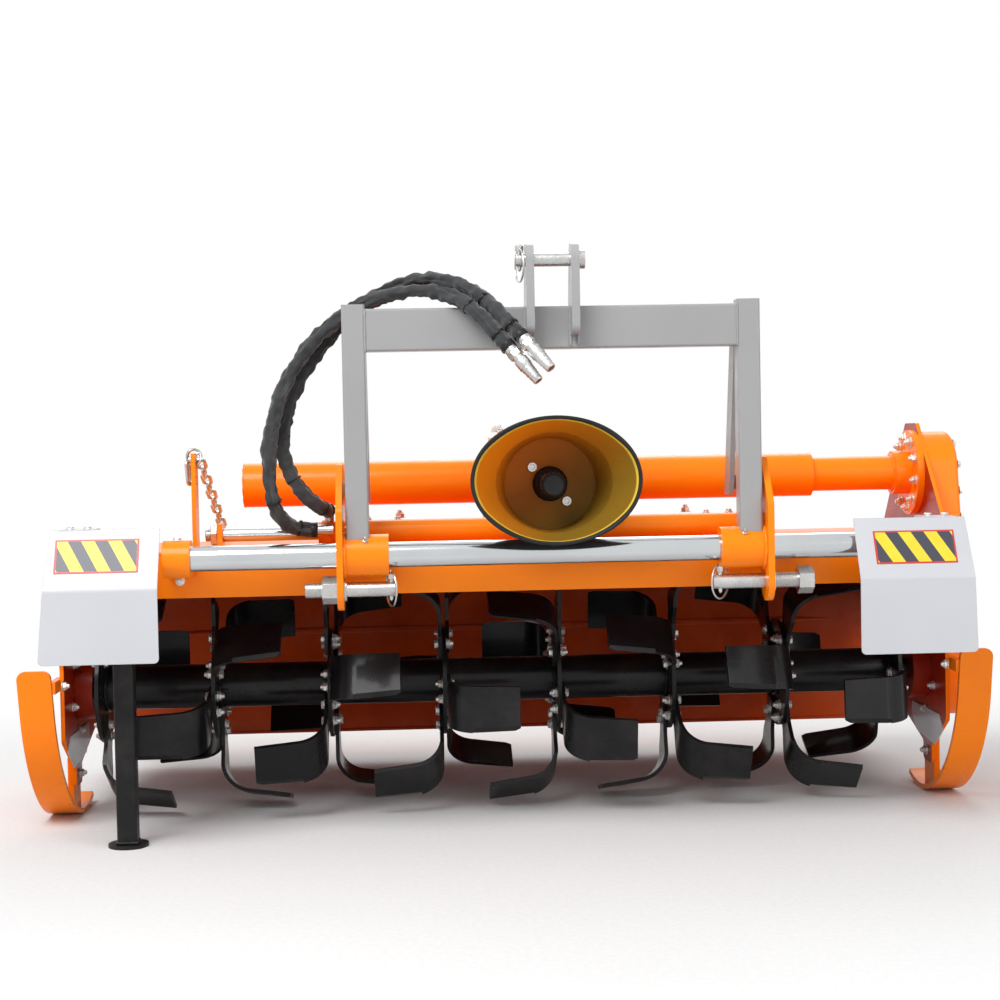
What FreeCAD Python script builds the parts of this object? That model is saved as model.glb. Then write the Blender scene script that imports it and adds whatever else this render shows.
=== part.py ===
import FreeCAD, Part
import Sketcher
import math
import os
import re

# Rotary tiller for a category 2 three-point hitch, with hydraulic side shift.
# Frame: +X along the rotor, -Y towards the tractor, +Z up, floor at z = 0, lengths in mm.
# The stored state is parked: both skids and the parking leg stand on the floor.

sizes = [
    # side plates and the hood between them
    ("plate_outer", 892, "half distance over the two side plates"),
    ("hood_front_inset", 32, "hood front corners inside the side plates"),
    ("plate_wall", 8, "side plate thickness"),
    ("hood_wall", 4, "hood sheet thickness"),
    ("hood_front_half", "=plate_outer - hood_front_inset", "half width of the hood ahead of the side plates"),
    ("lip_y", -365, "front face of the hood lip"),
    ("lip_low_z", 470, "lower edge of the hood lip"),
    ("hood_top_z", 555, "flat top of the hood"),
    ("crown_y", 40, "where the hood top turns down to the rear"),
    ("rear_y", 330, "rear edge of the hood"),
    ("rear_z", 450, "height of the rear edge"),
    ("plate_front_y", -235, "front edge of the side plates at hood height"),
    ("plate_low_front_y", -190, "front edge of the side plates below the hood"),
    ("plate_rear_y", 360, "rear edge of the side plates"),
    ("plate_chin_z", 172, "lower end of the front edge of the side plates"),
    ("plate_low_z", 105, "lower edge of the side plates"),
    ("plate_tab_z", 65, "lower end of the skid tab on the side plates"),
    ("plate_tab_y", -55, "middle of the skid tab"),
    ("plate_tab_width", 60, "width of the skid tab"),
    ("plate_corner", 10, "rounded corners of the side plates"),
    ("hood_bend", 60, "bend radius of the hood's crown"),
    ("lip_bend", 9, "bend radius of the hood lip"),
    ("bearing_cap_radius", 64, "cap over the left rotor bearing"),
    ("bearing_cap_wall", 14, "its thickness"),
    # rotor
    ("rotor_y", -25, "rotor axis, Y"),
    ("rotor_z", 258, "rotor axis, Z"),
    ("rotor_tube_radius", 45, "rotor tube"),
    ("flange_pitch", "=(plate_outer - plate_wall - 65) / 3.5", "distance between blade flanges"),
    ("flange_row_x", -12, "middle of the row of flanges"),
    ("flange_radius", 112, "blade flange"),
    ("flange_wall", 8, "blade flange thickness"),
    ("stub_radius", 22, "rotor stub shaft"),
    ("bearing_radius", 62, "rotor bearing housing"),
    ("bearing_width", 36, "width of a rotor bearing housing"),
    ("shield_wall", 3, "shield under a rotor bearing"),
    ("bearing_gap", 0.3, "running gap of shafts and sleeves"),
    ("blade_wall", 8, "blade thickness"),
    ("blade_reach", 240, "outer face of a blade at its tip, from the rotor axis"),
    ("blade_root", 58, "inner end of a blade shank, from the rotor axis"),
    ("blade_span", 141, "length of a blade along the rotor"),
    ("blade_bend", 56, "inner bend radius between shank and plate"),
    ("blade_width", 88, "width of a blade at its bend"),
    ("blade_open", 8, "angle by which a blade opens outwards along the rotor"),
    ("blade_tilt", 15, "angle by which the leading edge of a blade stands further out"),
    ("blade_bevel", 10, "width of the ground bevel on the leading edge"),
    ("blade_shank", 27, "half width of the shank at the bolts"),
    ("helix_start", -47.2, "angle of the right-hand blades on the first flange"),
    ("helix_step", 18.4, "angle added from flange to flange"),
    ("left_helix", 47, "angle of the left-hand blades past the right-hand ones of the same flange"),
    ("flange_count", 8, "number of blade flanges"),
    # drive
    ("drive_y", 30, "axis of the cross drive tube, Y"),
    ("drive_z", 671, "axis of the cross drive tube and of the input shaft, Z"),
    ("inner_tube_radius", 36, "fixed drive tube"),
    ("inner_tube_start", 334, "left end of the fixed drive tube"),
    ("outer_tube_radius", 46, "sliding drive tube"),
    ("outer_tube_left", -539, "left end of the sliding drive tube"),
    ("outer_tube_right", 660, "right end of the sliding drive tube"),
    ("drive_flange_radius", 90, "flange of the fixed drive tube"),
    ("drive_flange_wall", 14, "its thickness"),
    ("case_wall", 66, "depth of the side drive case"),
    ("case_top_radius", 86, "upper round of the case"),
    ("case_low_radius", 98, "lower round of the case"),
    ("case_edge", 12, "rounded outer edge of the case"),
    # guide bar and side shift
    ("bar_y", -420, "axis of the guide bar, Y"),
    ("bar_z", 547, "axis of the guide bar, Z"),
    ("bar_radius", 24, "guide bar"),
    ("bar_end_x", "=plate_outer - 228", "inner face of the right bar end"),
    ("bar_end_left_x", "=294 - plate_outer", "inner face of the left bar end"),
    ("bar_end_length", 50, "length of a bar end"),
    ("bar_end_radius", 35, "outer radius of a bar end"),
    ("rod_y", -285, "axis of the shift cylinder, Y"),
    ("rod_z", 583.5, "axis of the shift cylinder, Z"),
    ("rod_radius", 13, "piston rod"),
    ("rod_left", "=340 - plate_outer", "left end of the piston rod"),
    ("rod_right", -190, "right end of the piston rod inside the barrel"),
    ("barrel_radius", 23, "cylinder barrel"),
    ("barrel_bore", 18, "bore radius of the barrel"),
    ("barrel_base", 60, "length of the closed end of the barrel"),
    ("fitting_radius", 9, "neck of a hose fitting"),
    ("fitting_low_y", "=rod_y - 49", "lower hose fitting, Y"),
    ("fitting_low_z", "=rod_z + 8.5", "lower hose fitting, Z"),
    ("fitting_high_y", "=rod_y - 25", "upper hose fitting, Y"),
    ("fitting_high_z", "=rod_z + 44.5", "upper hose fitting, Z"),
    # hitch
    ("hitch_x", 78, "middle of the hitch, as it is parked"),
    ("hitch_span", 812, "distance over the lower hitch plates"),
    ("barrel_left", "=hitch_x - hitch_span / 2 - 33", "left end of the cylinder barrel"),
    ("hitch_wall", 12, "hitch plate thickness"),
    ("pin_y", -428, "axis of the lower pins, Y"),
    ("pin_z", 484, "axis of the lower pins, Z"),
    ("pin_radius", 14, "category 2 lower pin"),
    ("pin_reach", 99, "free length of a lower pin inside its plate"),
    ("pin_collar", 5, "width of the collar of a lower pin"),
    ("nut_height", 28, "height of the nut on a lower pin"),
    ("stud_left", 60, "left pin outside its plate"),
    ("stud_right", 77, "right pin outside its plate"),
    ("pin_lobe", 38, "radius of the plate round the pin"),
    ("sleeve_radius", 39, "guide sleeve"),
    ("sleeve_length", 84, "guide sleeve length"),
    ("plate_top_z", 717, "upper end of the hitch plates"),
    ("post_width", 43, "mast post, along X"),
    ("post_depth", 42, "mast post, along Y"),
    ("post_front_y", -445, "front face of the mast posts"),
    ("beam_high_z", 1003, "upper face of the mast beam"),
    ("post_high_z", "=beam_high_z + 8", "upper end of the posts"),
    ("post_inset", 17.5, "post outer face inside the hitch plate outer face"),
    ("beam_low_z", "=beam_high_z - 79", "lower face of the mast beam"),
    ("beam_depth", 42, "mast beam, along Y"),
    ("brace_width", 52, "mast brace, along Y"),
    ("brace_wall", 10, "mast brace thickness"),
    ("brace_high_z", "=beam_high_z - 38", "upper end of the braces"),
    ("brace_meet_z", "=beam_high_z - 92", "where the front edge of a brace meets its post"),
    ("brace_low_z", 643, "lower end of the braces"),
    ("brace_low_y", -327, "front edge of the braces at their lower end"),
    ("brace_boss", 15, "radius of the spacer between brace and hitch plate"),
    ("tube_corner", 5, "rounded corners of the square tubes"),
    ("hitch_corner", 14, "rounded upper corners of the hitch plates"),
    ("clevis_corner", 17, "rounded lower corner of a top link plate"),
    ("clevis_gap", 68, "gap between the top link plates"),
    ("clevis_wall", 15, "top link plate thickness"),
    ("clevis_radius", 30, "round end of a top link plate"),
    ("top_pin_z", "=beam_high_z + 83", "top link pin, Z"),
    ("top_pin_y", -462, "top link pin, Y"),
    ("top_pin_radius", 12.5, "category 2 top link pin"),
    ("deck_wall", 12, "gearbox deck"),
    ("deck_top_z", 594, "upper face of the gearbox deck"),
    ("deck_front_y", -255, "front edge of the gearbox deck"),
    ("deck_rear_y", -190, "rear edge of its wide part"),
    ("gearbox_half", 100, "half width of the gearbox"),
    ("gearbox_front_y", -90, "front face of the gearbox"),
    ("gearbox_rear_y", 140, "rear face of the gearbox"),
    ("gearbox_high_z", 762, "top of the gearbox"),
    ("neck_radius", 60, "input neck of the gearbox"),
    ("neck_front_y", -317, "front face of the input neck"),
    ("neck_flange_radius", 76, "flange of the input neck"),
    ("seal_radius", 32, "seal in front of the input neck"),
    ("gearbox_corner", 18, "rounded upright corners of the gearbox"),
    ("gearbox_lid", 12, "thickness of the gearbox covers"),
    ("shaft_step", 0.9, "step from the splined end down to the journal"),
    ("shaft_free_y", -326, "inner end of the free part of the input shaft"),
    ("shaft_radius", 17.4, "input shaft, 1 3/8 inch"),
    ("shaft_front_y", -412, "front end of the input shaft"),
    ("cone_front_y", -500, "rim of the shaft guard"),
    ("cone_rim_half", 155, "half width of the rim"),
    ("cone_rim_up", 116, "half height of the rim"),
    ("cone_rim_z", 681, "middle of the rim"),
    ("cone_waist_y", -437, "where the guard's flare ends"),
    ("cone_waist_half", 112, "half width there"),
    ("cone_waist_up", 97, "half height there"),
    ("cone_base_half", 90, "radius of the guard's back"),
    ("cone_wall", 3, "guard wall"),
    # skids, guards, stand, tailboard
    ("skid_inner", "=plate_outer + 9", "inner edge of a skid at its upper end, from the middle"),
    ("skid_lean", 21, "how far a skid leans inwards on its way down"),
    ("skid_corner", 16, "rounded upper corners of a skid"),
    ("skid_web", 12, "thickness of the brackets on a skid"),
    ("skid_width", 66, "skid width"),
    ("skid_wall", 10, "skid thickness"),
    ("skid_radius", 235, "outer radius of a skid"),
    ("skid_y", -5, "where a skid touches the floor"),
    ("skid_top_z", 322, "upper front end of a skid"),
    ("skid_tail_angle", 21, "angle of the tail of a skid past the floor point"),
    ("guard_inner", "=plate_outer - 247", "inner edge of a front guard, were they even"),
    ("guard_shift", 7, "both guards sit this far to the left"),
    ("guard_drop", 9, "right guard below the left one"),
    ("guard_longer", 7, "right guard longer than the left one"),
    ("guard_width", 219, "front guard width"),
    ("guard_taper_left", 22, "how much narrower the left guard is at its upper edge"),
    ("guard_taper_right", 8, "how much narrower the right guard is at its upper edge"),
    ("guard_corner", 9, "rounded lower corners of a guard"),
    ("guard_wall", 3, "front guard sheet"),
    ("guard_y", -492, "front face of the guards"),
    ("guard_low_z", 363, "lower edge of the left guard"),
    ("guard_fold_z", 497, "fold of the left guard"),
    ("guard_bend", 14, "bend radius of the guards"),
    ("guard_top_y", -438, "upper edge of the guards, Y"),
    ("guard_top_z", 606, "upper edge of the left guard, Z"),
    ("guard_tab_outer", "=plate_outer - 56", "outer end of a guard bracket, from the middle"),
    ("guard_tab_length", 62, "guard bracket length"),
    ("stand_x", "=154 - plate_outer", "parking leg, X"),
    ("stand_y", -352, "parking leg, Y"),
    ("stand_side", 38, "parking leg tube, outer side"),
    ("stand_wall", 4, "parking leg tube wall"),
    ("stand_high_z", 555, "upper end of the parking leg"),
    ("foot_radius", 38, "foot disc of the parking leg"),
    ("foot_wall", 6, "foot disc thickness"),
    ("socket_wall", 5, "wall of the parking leg socket"),
    ("socket_low_z", 400, "lower end of the socket"),
    ("socket_high_z", 566, "upper end of the socket"),
    ("board_wall", 5, "tailboard sheet"),
    ("board_low_y", 508, "lower edge of the tailboard, Y"),
    ("board_low_z", 70, "lower edge of the tailboard, Z"),
    ("board_half", "=plate_outer - 17", "half width of the tailboard"),
    ("hinge_radius", 8, "tailboard hinge rod"),
    ("hinge_drop", 14, "hinge axis below and behind the rear edge of the hood"),
    ("knuckle_radius", 14, "rolled upper edge of the tailboard"),
    # tailboard chain
    ("chain_x", "=289 - plate_outer", "chain and chain post, X"),
    ("chain_post_y", -300, "chain post, Y"),
    ("chain_post_depth", 44, "width of the chain post bar"),
    ("chain_post_wall", 8, "thickness of the chain post bar"),
    ("chain_post_high_z", 742, "upper end of the chain post"),
    ("chain_radius", 7, "stand-in bar for the chain"),
    ("chain_lug", 75, "reach of the chain lug behind the tailboard"),
    ("hose_diameter", 27, "hose with its sleeve"),
    ("coupling_radius", 12, "hose coupling"),
    ("coupling_length", 82, "hose coupling"),
]

doc = FreeCAD.newDocument("rotary_tiller")
sheet = doc.addObject("Spreadsheet::Sheet", "Sizes")
for row, (alias, value, note) in enumerate(sizes, start=1):
    sheet.set("A%d" % row, str(value))
    sheet.set("B%d" % row, note)
    sheet.setAlias("A%d" % row, alias)
doc.recompute()
names = sorted((entry[0] for entry in sizes), key=len, reverse=True)


def size(alias):
    return float(sheet.get(alias))


def linked(text):
    """Turn the aliases in an expression into references to the sheet."""
    return re.sub(r"\b(%s)\b" % "|".join(names), r"Sizes.\1", str(text))


def bind(thing, prop, text):
    thing.setExpression(prop, linked(text))


parts = {}


def keep(thing, label):
    thing.Label = label
    parts[label] = thing
    return thing


def place(thing, x="0", y="0", z="0", axis=None, angle=0):
    """Put a primitive at a point given by expressions, turned about one axis."""
    if axis:
        thing.Placement = FreeCAD.Placement(FreeCAD.Vector(), FreeCAD.Rotation(axis, angle))
    bind(thing, "Placement.Base.x", x)
    bind(thing, "Placement.Base.y", y)
    bind(thing, "Placement.Base.z", z)
    return thing


def block(name, x, y, z, length, width, height):
    """Rectangular block from its lowest corner."""
    thing = doc.addObject("Part::Box", name)
    bind(thing, "Length", length)
    bind(thing, "Width", width)
    bind(thing, "Height", height)
    return place(thing, x, y, z)


along = {
    "X": (FreeCAD.Vector(0, 1, 0), 90),
    "Y": (FreeCAD.Vector(1, 0, 0), -90),
    "Z": (None, 0),
}


def round_bar(name, direction, x, y, z, radius, length):
    """Cylinder whose axis starts at a point and runs along X, Y or Z."""
    thing = doc.addObject("Part::Cylinder", name)
    bind(thing, "Radius", radius)
    bind(thing, "Height", length)
    axis, angle = along[direction]
    return place(thing, x, y, z, axis, angle)


def fused(name, *pieces):
    thing = doc.addObject("Part::MultiFuse", name)
    thing.Shapes = list(pieces)
    thing.Refine = True
    return thing


def cut(name, base, *tools):
    """Base less its tools, one after the other."""
    result = base
    for number, tool in enumerate(tools):
        step = doc.addObject("Part::Cut", "%s_cut%d" % (name, number))
        step.Base = result
        step.Tool = tool
        step.Refine = True
        result = step
    return result


def softened(name, base, radius, pick):
    """Round the straight edges that pick chooses by their middle point and direction."""
    doc.recompute()
    chosen = []
    for number, edge in enumerate(base.Shape.Edges, start=1):
        if pick(edge.CenterOfMass, edge.tangentAt(edge.FirstParameter)):
            chosen.append((number, size(radius), size(radius)))
    thing = doc.addObject("Part::Fillet", name)
    thing.Base = base
    thing.Edges = chosen
    return thing


def profile(name, role, points, start, depth):
    """Body padded from a closed outline on one of its origin planes.

    On YZ_Plane the outline is given in Y and Z and padded towards +X,
    on XZ_Plane in X and Z towards -Y, on XY_Plane in X and Y towards +Z.
    """
    body = doc.addObject("PartDesign::Body", name)
    sketch = body.newObject("Sketcher::SketchObject", name + "_outline")
    plane = [item for item in body.Origin.OriginFeatures if item.Role == role][0]
    sketch.AttachmentSupport = (plane, "")
    sketch.MapMode = "FlatFace"
    bind(sketch, "AttachmentOffset.Base.z", start)
    count = len(points)
    circle = [
        FreeCAD.Vector(100 * math.cos(2 * math.pi * i / count), 100 * math.sin(2 * math.pi * i / count), 0)
        for i in range(count)
    ]
    for i in range(count):
        sketch.addGeometry(Part.LineSegment(circle[i], circle[(i + 1) % count]), False)
    for i in range(count):
        sketch.addConstraint(Sketcher.Constraint("Coincident", i, 2, (i + 1) % count, 1))
    for i, (across, up) in enumerate(points):
        for kind, text, at in (("DistanceX", across, circle[i].x), ("DistanceY", up, circle[i].y)):
            index = sketch.addConstraint(Sketcher.Constraint(kind, -1, 1, i, 1, at))
            bind(sketch, "Constraints[%d]" % index, text)
    pad = body.newObject("PartDesign::Pad", name + "_pad")
    pad.Profile = sketch
    bind(pad, "Length", depth)
    return body


def hood():
    inner = "plate_outer - plate_wall"
    shell = profile(
        "HoodSheet", "YZ_Plane",
        [
            ("lip_y", "lip_low_z"),
            ("lip_y", "hood_top_z"),
            ("crown_y", "hood_top_z"),
            ("rear_y", "rear_z"),
            ("rear_y - hood_wall * 0.45", "rear_z - hood_wall * 0.9"),
            ("crown_y - hood_wall * 0.25", "hood_top_z - hood_wall"),
            ("lip_y + hood_wall", "hood_top_z - hood_wall"),
            ("lip_y + hood_wall", "lip_low_z"),
        ],
        "-(%s)" % inner, "2 * (%s)" % inner,
    )
    crown = softened(
        "HoodCrown", shell, "hood_bend",
        lambda at, way: abs(way.x) > 0.99 and abs(at.y - size("crown_y")) < size("hood_wall"))
    shell = softened(
        "HoodLip", crown, "lip_bend",
        lambda at, way: abs(way.x) > 0.99 and abs(at.y - size("lip_y")) < 1
        and abs(at.z - size("hood_top_z")) < 1)
    corners = []
    for side, start in (("Left", "-(%s) - 1" % inner), ("Right", "hood_front_half")):
        corners.append(block(
            "HoodCorner" + side, start, "lip_y - 1", "lip_low_z - 1",
            "%s - hood_front_half + 1" % inner, "plate_front_y - lip_y + 1", "hood_top_z - lip_low_z + 2"))
    reach = "(stand_side / 2 + bearing_gap + socket_wall)"
    corners.append(block("SocketHole", "stand_x - " + reach, "stand_y - " + reach, "socket_low_z",
                         "2 * " + reach, "2 * " + reach, "hood_top_z - socket_low_z + 1"))
    keep(cut("Hood", shell, *corners), "hood_shell")


def side_plates():
    lower = [
        ("plate_front_y", "lip_low_z"),
        ("plate_low_front_y", "rotor_z + 60"),
        ("plate_low_front_y", "plate_chin_z"),
        ("plate_tab_y - plate_tab_width / 2", "plate_low_z"),
        ("plate_tab_y - plate_tab_width / 2", "plate_tab_z"),
        ("plate_tab_y + plate_tab_width / 2", "plate_tab_z"),
        ("plate_tab_y + plate_tab_width / 2", "plate_low_z"),
        ("rotor_y + 170", "plate_low_z + 50"),
        ("plate_rear_y", "rotor_z + 50"),
        ("plate_rear_y", "rear_z + 10"),
    ]
    tall = [
        ("drive_y + 60", "drive_z + 105"),
        ("drive_y - 20", "drive_z + 105"),
        ("plate_front_y + 66", "hood_top_z + 32"),
        ("plate_front_y", "hood_top_z"),
    ]
    low = [
        ("crown_y + 30", "hood_top_z + 14"),
        ("plate_front_y + 30", "hood_top_z + 14"),
        ("plate_front_y", "hood_top_z - 16"),
    ]
    for label, start, top in (
        ("side_plate_left", "-plate_outer", low),
        ("side_plate_right", "plate_outer - plate_wall", tall),
    ):
        flat = profile(label.title().replace("_", ""), "YZ_Plane", lower + top, start, "plate_wall")
        keep(softened(label + "_part", flat, "plate_corner", lambda at, way: abs(way.x) > 0.99), label)
    cap = round_bar("BearingCap", "X", "-plate_outer - bearing_cap_wall", "rotor_y", "rotor_z",
                    "bearing_cap_radius", "bearing_cap_wall")
    hub = round_bar("BearingHub", "X", "-plate_outer - 1.6 * bearing_cap_wall", "rotor_y", "rotor_z",
                    "bearing_cap_radius * 0.6", "bearing_cap_wall")
    keep(fused("BearingCapLeft", cap, hub), "bearing_cap_left")


def drive_case():
    """Long rounded case outside the right plate, round the tube axis above and the rotor below."""
    top = FreeCAD.Vector(0, size("drive_y"), size("drive_z"))
    low = FreeCAD.Vector(0, size("rotor_y"), size("rotor_z"))
    top_radius = size("case_top_radius")
    low_radius = size("case_low_radius")
    line = top - low
    tilt = math.asin((top_radius - low_radius) / line.Length)
    heading = math.atan2(line.z, line.y)

    def on(centre, radius, angle):
        return centre + FreeCAD.Vector(0, radius * math.cos(angle), radius * math.sin(angle))

    first = heading + math.pi / 2 - tilt
    last = heading - math.pi / 2 + tilt
    edges = [
        Part.Arc(on(top, top_radius, first), on(top, top_radius, heading), on(top, top_radius, last)).toShape(),
        Part.LineSegment(on(top, top_radius, last), on(low, low_radius, last)).toShape(),
        Part.Arc(on(low, low_radius, last), on(low, low_radius, heading + math.pi),
                 on(low, low_radius, first)).toShape(),
        Part.LineSegment(on(low, low_radius, first), on(top, top_radius, first)).toShape(),
    ]
    case = doc.addObject("Part::Feature", "DriveCase")
    case.Shape = Part.Face(Part.Wire(edges)).extrude(FreeCAD.Vector(size("case_wall"), 0, 0))
    place(case, "plate_outer")
    far = size("plate_outer") + size("case_wall")
    keep(softened("DriveCaseRound", case, "case_edge", lambda at, way: at.x > far - 1), "side_drive_case")


def fixed_drive_tube():
    flange_x = "plate_outer - plate_wall - drive_flange_wall"
    tube = round_bar("InnerTube", "X", "inner_tube_start", "drive_y", "drive_z", "inner_tube_radius",
                     "%s - inner_tube_start" % flange_x)
    flange = round_bar("TubeFlange", "X", flange_x, "drive_y", "drive_z", "drive_flange_radius",
                       "drive_flange_wall")
    hub = round_bar("TubeHub", "X", "%s - 34" % flange_x, "drive_y", "drive_z", "inner_tube_radius + 10", "34")
    keep(fused("FixedDriveTube", tube, hub, flange), "fixed_drive_tube")


def guide_bar():
    keep(round_bar("GuideBar", "X", "bar_end_left_x - bar_end_length", "bar_y", "bar_z", "bar_radius",
                   "bar_end_x - bar_end_left_x + 2 * bar_end_length"), "guide_bar")
    for label, start in (
        ("bar_end_left", "bar_end_left_x - bar_end_length"),
        ("bar_end_right", "bar_end_x"),
    ):
        ring = round_bar(label + "_ring", "X", start, "bar_y", "bar_z", "bar_end_radius", "bar_end_length")
        foot = block(label + "_foot", start, "bar_y", "bar_z - bar_end_radius", "bar_end_length",
                     "lip_y - bar_y", "hood_top_z - bar_z + bar_end_radius")
        bore = round_bar(label + "_bore", "X", start, "bar_y", "bar_z", "bar_radius", "bar_end_length")
        keep(cut(label + "_part", fused(label + "_body", ring, foot), bore), label)


def shift_rod():
    rod = round_bar("PistonRod", "X", "rod_left", "rod_y", "rod_z", "rod_radius", "rod_right - rod_left")
    piston = round_bar("Piston", "X", "rod_right - 25", "rod_y", "rod_z", "barrel_bore - bearing_gap", "25")
    keep(fused("ShiftRod", rod, piston), "cylinder_rod")
    keep(block("RodBracket", "rod_left - 10", "rod_y - 22", "hood_top_z", "10", "44", "rod_z - hood_top_z + 22"),
         "rod_bracket")


def chain_post():
    x = "chain_x - chain_post_wall / 2"
    keep(profile(
        "ChainPost", "XZ_Plane",
        [
            (x, "hood_top_z + 8"),
            (x, "chain_post_high_z"),
            (x + " + chain_post_wall", "chain_post_high_z"),
            (x + " + chain_post_wall", "hood_top_z"),
            (x + " - 52", "hood_top_z"),
            (x + " - 52", "hood_top_z + 8"),
        ],
        "-chain_post_y - chain_post_depth / 2", "chain_post_depth"), "chain_post")


def rounded(points):
    """Closed outline in the XZ plane from (x, z, corner radius)."""
    corners = [FreeCAD.Vector(x, 0, z) for x, z, radius in points]
    edges = []
    starts = []
    ends = []
    for i, (x, z, radius) in enumerate(points):
        corner = corners[i]
        back = (corners[i - 1] - corner).normalize()
        ahead = (corners[(i + 1) % len(points)] - corner).normalize()
        half_turn = back.getAngle(ahead) / 2
        reach = radius / math.tan(half_turn)
        starts.append(corner + back * reach)
        ends.append(corner + ahead * reach)
        if radius:
            inward = (back + ahead).normalize()
            middle = corner + inward * (radius / math.sin(half_turn) - radius)
            edges.append(Part.Arc(starts[i], middle, ends[i]).toShape())
    for i in range(len(points)):
        edges.append(Part.LineSegment(ends[i], starts[(i + 1) % len(points)]).toShape())
    return Part.Face(Part.Wire(Part.__sortEdges__(edges)))


def skids():
    """Flat bar bent to an arc: up at the front, on the floor under the plate, a short raised tail."""
    radius = size("skid_radius")
    inside = radius - size("skid_wall")
    centre = FreeCAD.Vector(0, size("skid_y"), radius)
    tail = math.radians(size("skid_tail_angle") - 90)

    def on(distance, angle):
        return centre + FreeCAD.Vector(0, distance * math.cos(angle), distance * math.sin(angle))

    front_out = on(radius, math.pi)
    front_in = on(inside, math.pi)
    top = size("skid_top_z")
    rise = FreeCAD.Vector(0, 0, top - radius)
    middle = (math.pi + tail + 2 * math.pi) / 2
    edges = [
        Part.LineSegment(front_out + rise, front_out).toShape(),
        Part.Arc(front_out, on(radius, middle), on(radius, tail)).toShape(),
        Part.LineSegment(on(radius, tail), on(inside, tail)).toShape(),
        Part.Arc(on(inside, tail), on(inside, middle), front_in).toShape(),
        Part.LineSegment(front_in, front_in + rise).toShape(),
        Part.LineSegment(front_in + rise, front_out + rise).toShape(),
    ]
    low_x = size("skid_inner") - size("skid_lean")
    high_x = size("skid_inner")
    width = size("skid_width")
    corner = size("skid_corner")
    bent = Part.Face(Part.Wire(edges)).extrude(FreeCAD.Vector(high_x + width - low_x, 0, 0))
    bent.translate(FreeCAD.Vector(low_x, 0, 0))
    front_view = rounded([
        (low_x, 0, 0),
        (low_x + width, 0, 0),
        (high_x + width, top, corner),
        (high_x, top, corner),
    ]).extrude(FreeCAD.Vector(0, 2 * radius, 0))
    front_view.translate(centre - FreeCAD.Vector(0, radius, radius))
    leaning = bent.common(front_view)
    for label, shape, web_x in (
        ("skid_left", leaning.mirror(FreeCAD.Vector(), FreeCAD.Vector(1, 0, 0)), "-plate_outer - skid_web"),
        ("skid_right", leaning, "plate_outer"),
    ):
        strip = doc.addObject("Part::Feature", label + "_strip")
        strip.Shape = shape
        web = block(label + "_web", web_x, "plate_tab_y - 20", "0", "skid_web", "70", "plate_low_z + 18")
        disc = round_bar(label + "_disc", "X", web_x, "skid_y", "skid_radius", "skid_radius - skid_wall / 2",
                         "skid_web")
        standing = doc.addObject("Part::MultiCommon", label + "_standing")
        standing.Shapes = [web, disc]
        arm = block(label + "_arm", web_x, "skid_y - skid_radius + skid_wall / 2", "skid_top_z - 46", "skid_web + 2"
                    if "right" in label else "skid_web", "plate_low_front_y - skid_y + skid_radius + 34", "24")
        keep(fused(label + "_part", strip, standing, arm), label)


def guards():
    for label, start, bracket, drop, taper in (
        ("guard_left", "-guard_inner - guard_width - guard_shift", "-guard_tab_outer", "0", "guard_taper_left"),
        ("guard_right", "guard_inner - guard_shift", "guard_tab_outer - guard_tab_length", "guard_drop",
         "guard_taper_right"),
    ):
        low = "guard_low_z - " + (drop if drop == "0" else drop + " - guard_longer")
        fold = "guard_fold_z - " + drop
        top = "guard_top_z - " + drop
        lowered = 0 if drop == "0" else size(drop)
        low_at = size("guard_low_z") - lowered - (size("guard_longer") if lowered else 0)
        fold_at = size("guard_fold_z") - lowered
        sheet_metal = profile(
            label + "_sheet", "YZ_Plane",
            [
                ("guard_y", low),
                ("guard_y", fold),
                ("guard_top_y", top),
                ("guard_top_y + guard_wall * 0.6", top + " - guard_wall"),
                ("guard_y + guard_wall", fold + " - guard_wall * 0.3"),
                ("guard_y + guard_wall", low),
            ],
            start, "guard_width")
        sheet_metal = softened(
            label + "_bent", sheet_metal, "guard_bend",
            lambda at, way: abs(way.x) > 0.99 and abs(at.z - fold_at) < size("guard_wall"))
        outer, sign = (start, "+") if label == "guard_left" else (start + " + guard_width", "-")
        side = profile(
            label + "_side", "XZ_Plane",
            [
                (outer, low),
                ("%s %s %s" % (outer, sign, taper), top),
                (outer, top),
            ],
            "-guard_top_y - guard_wall", "guard_top_y - guard_y + guard_wall")
        sheet_metal = softened(
            label + "_rounded", cut(label + "_trimmed", sheet_metal, side), "guard_corner",
            lambda at, way: abs(way.y) > 0.99 and abs(at.z - low_at) < 1)
        tab = block(label + "_tab", bracket, "guard_top_y - 1", top + " - guard_wall", "guard_tab_length",
                    "lip_y - guard_top_y + 1", "guard_wall")
        keep(fused(label + "_part", sheet_metal, tab), label)
        keep(block(label + "_bracket_part", bracket, "lip_y - 6", "hood_top_z - 46", "guard_tab_length", "6",
                   top + " - guard_wall - hood_top_z + 46"), label.replace("guard", "guard_bracket"))


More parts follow.
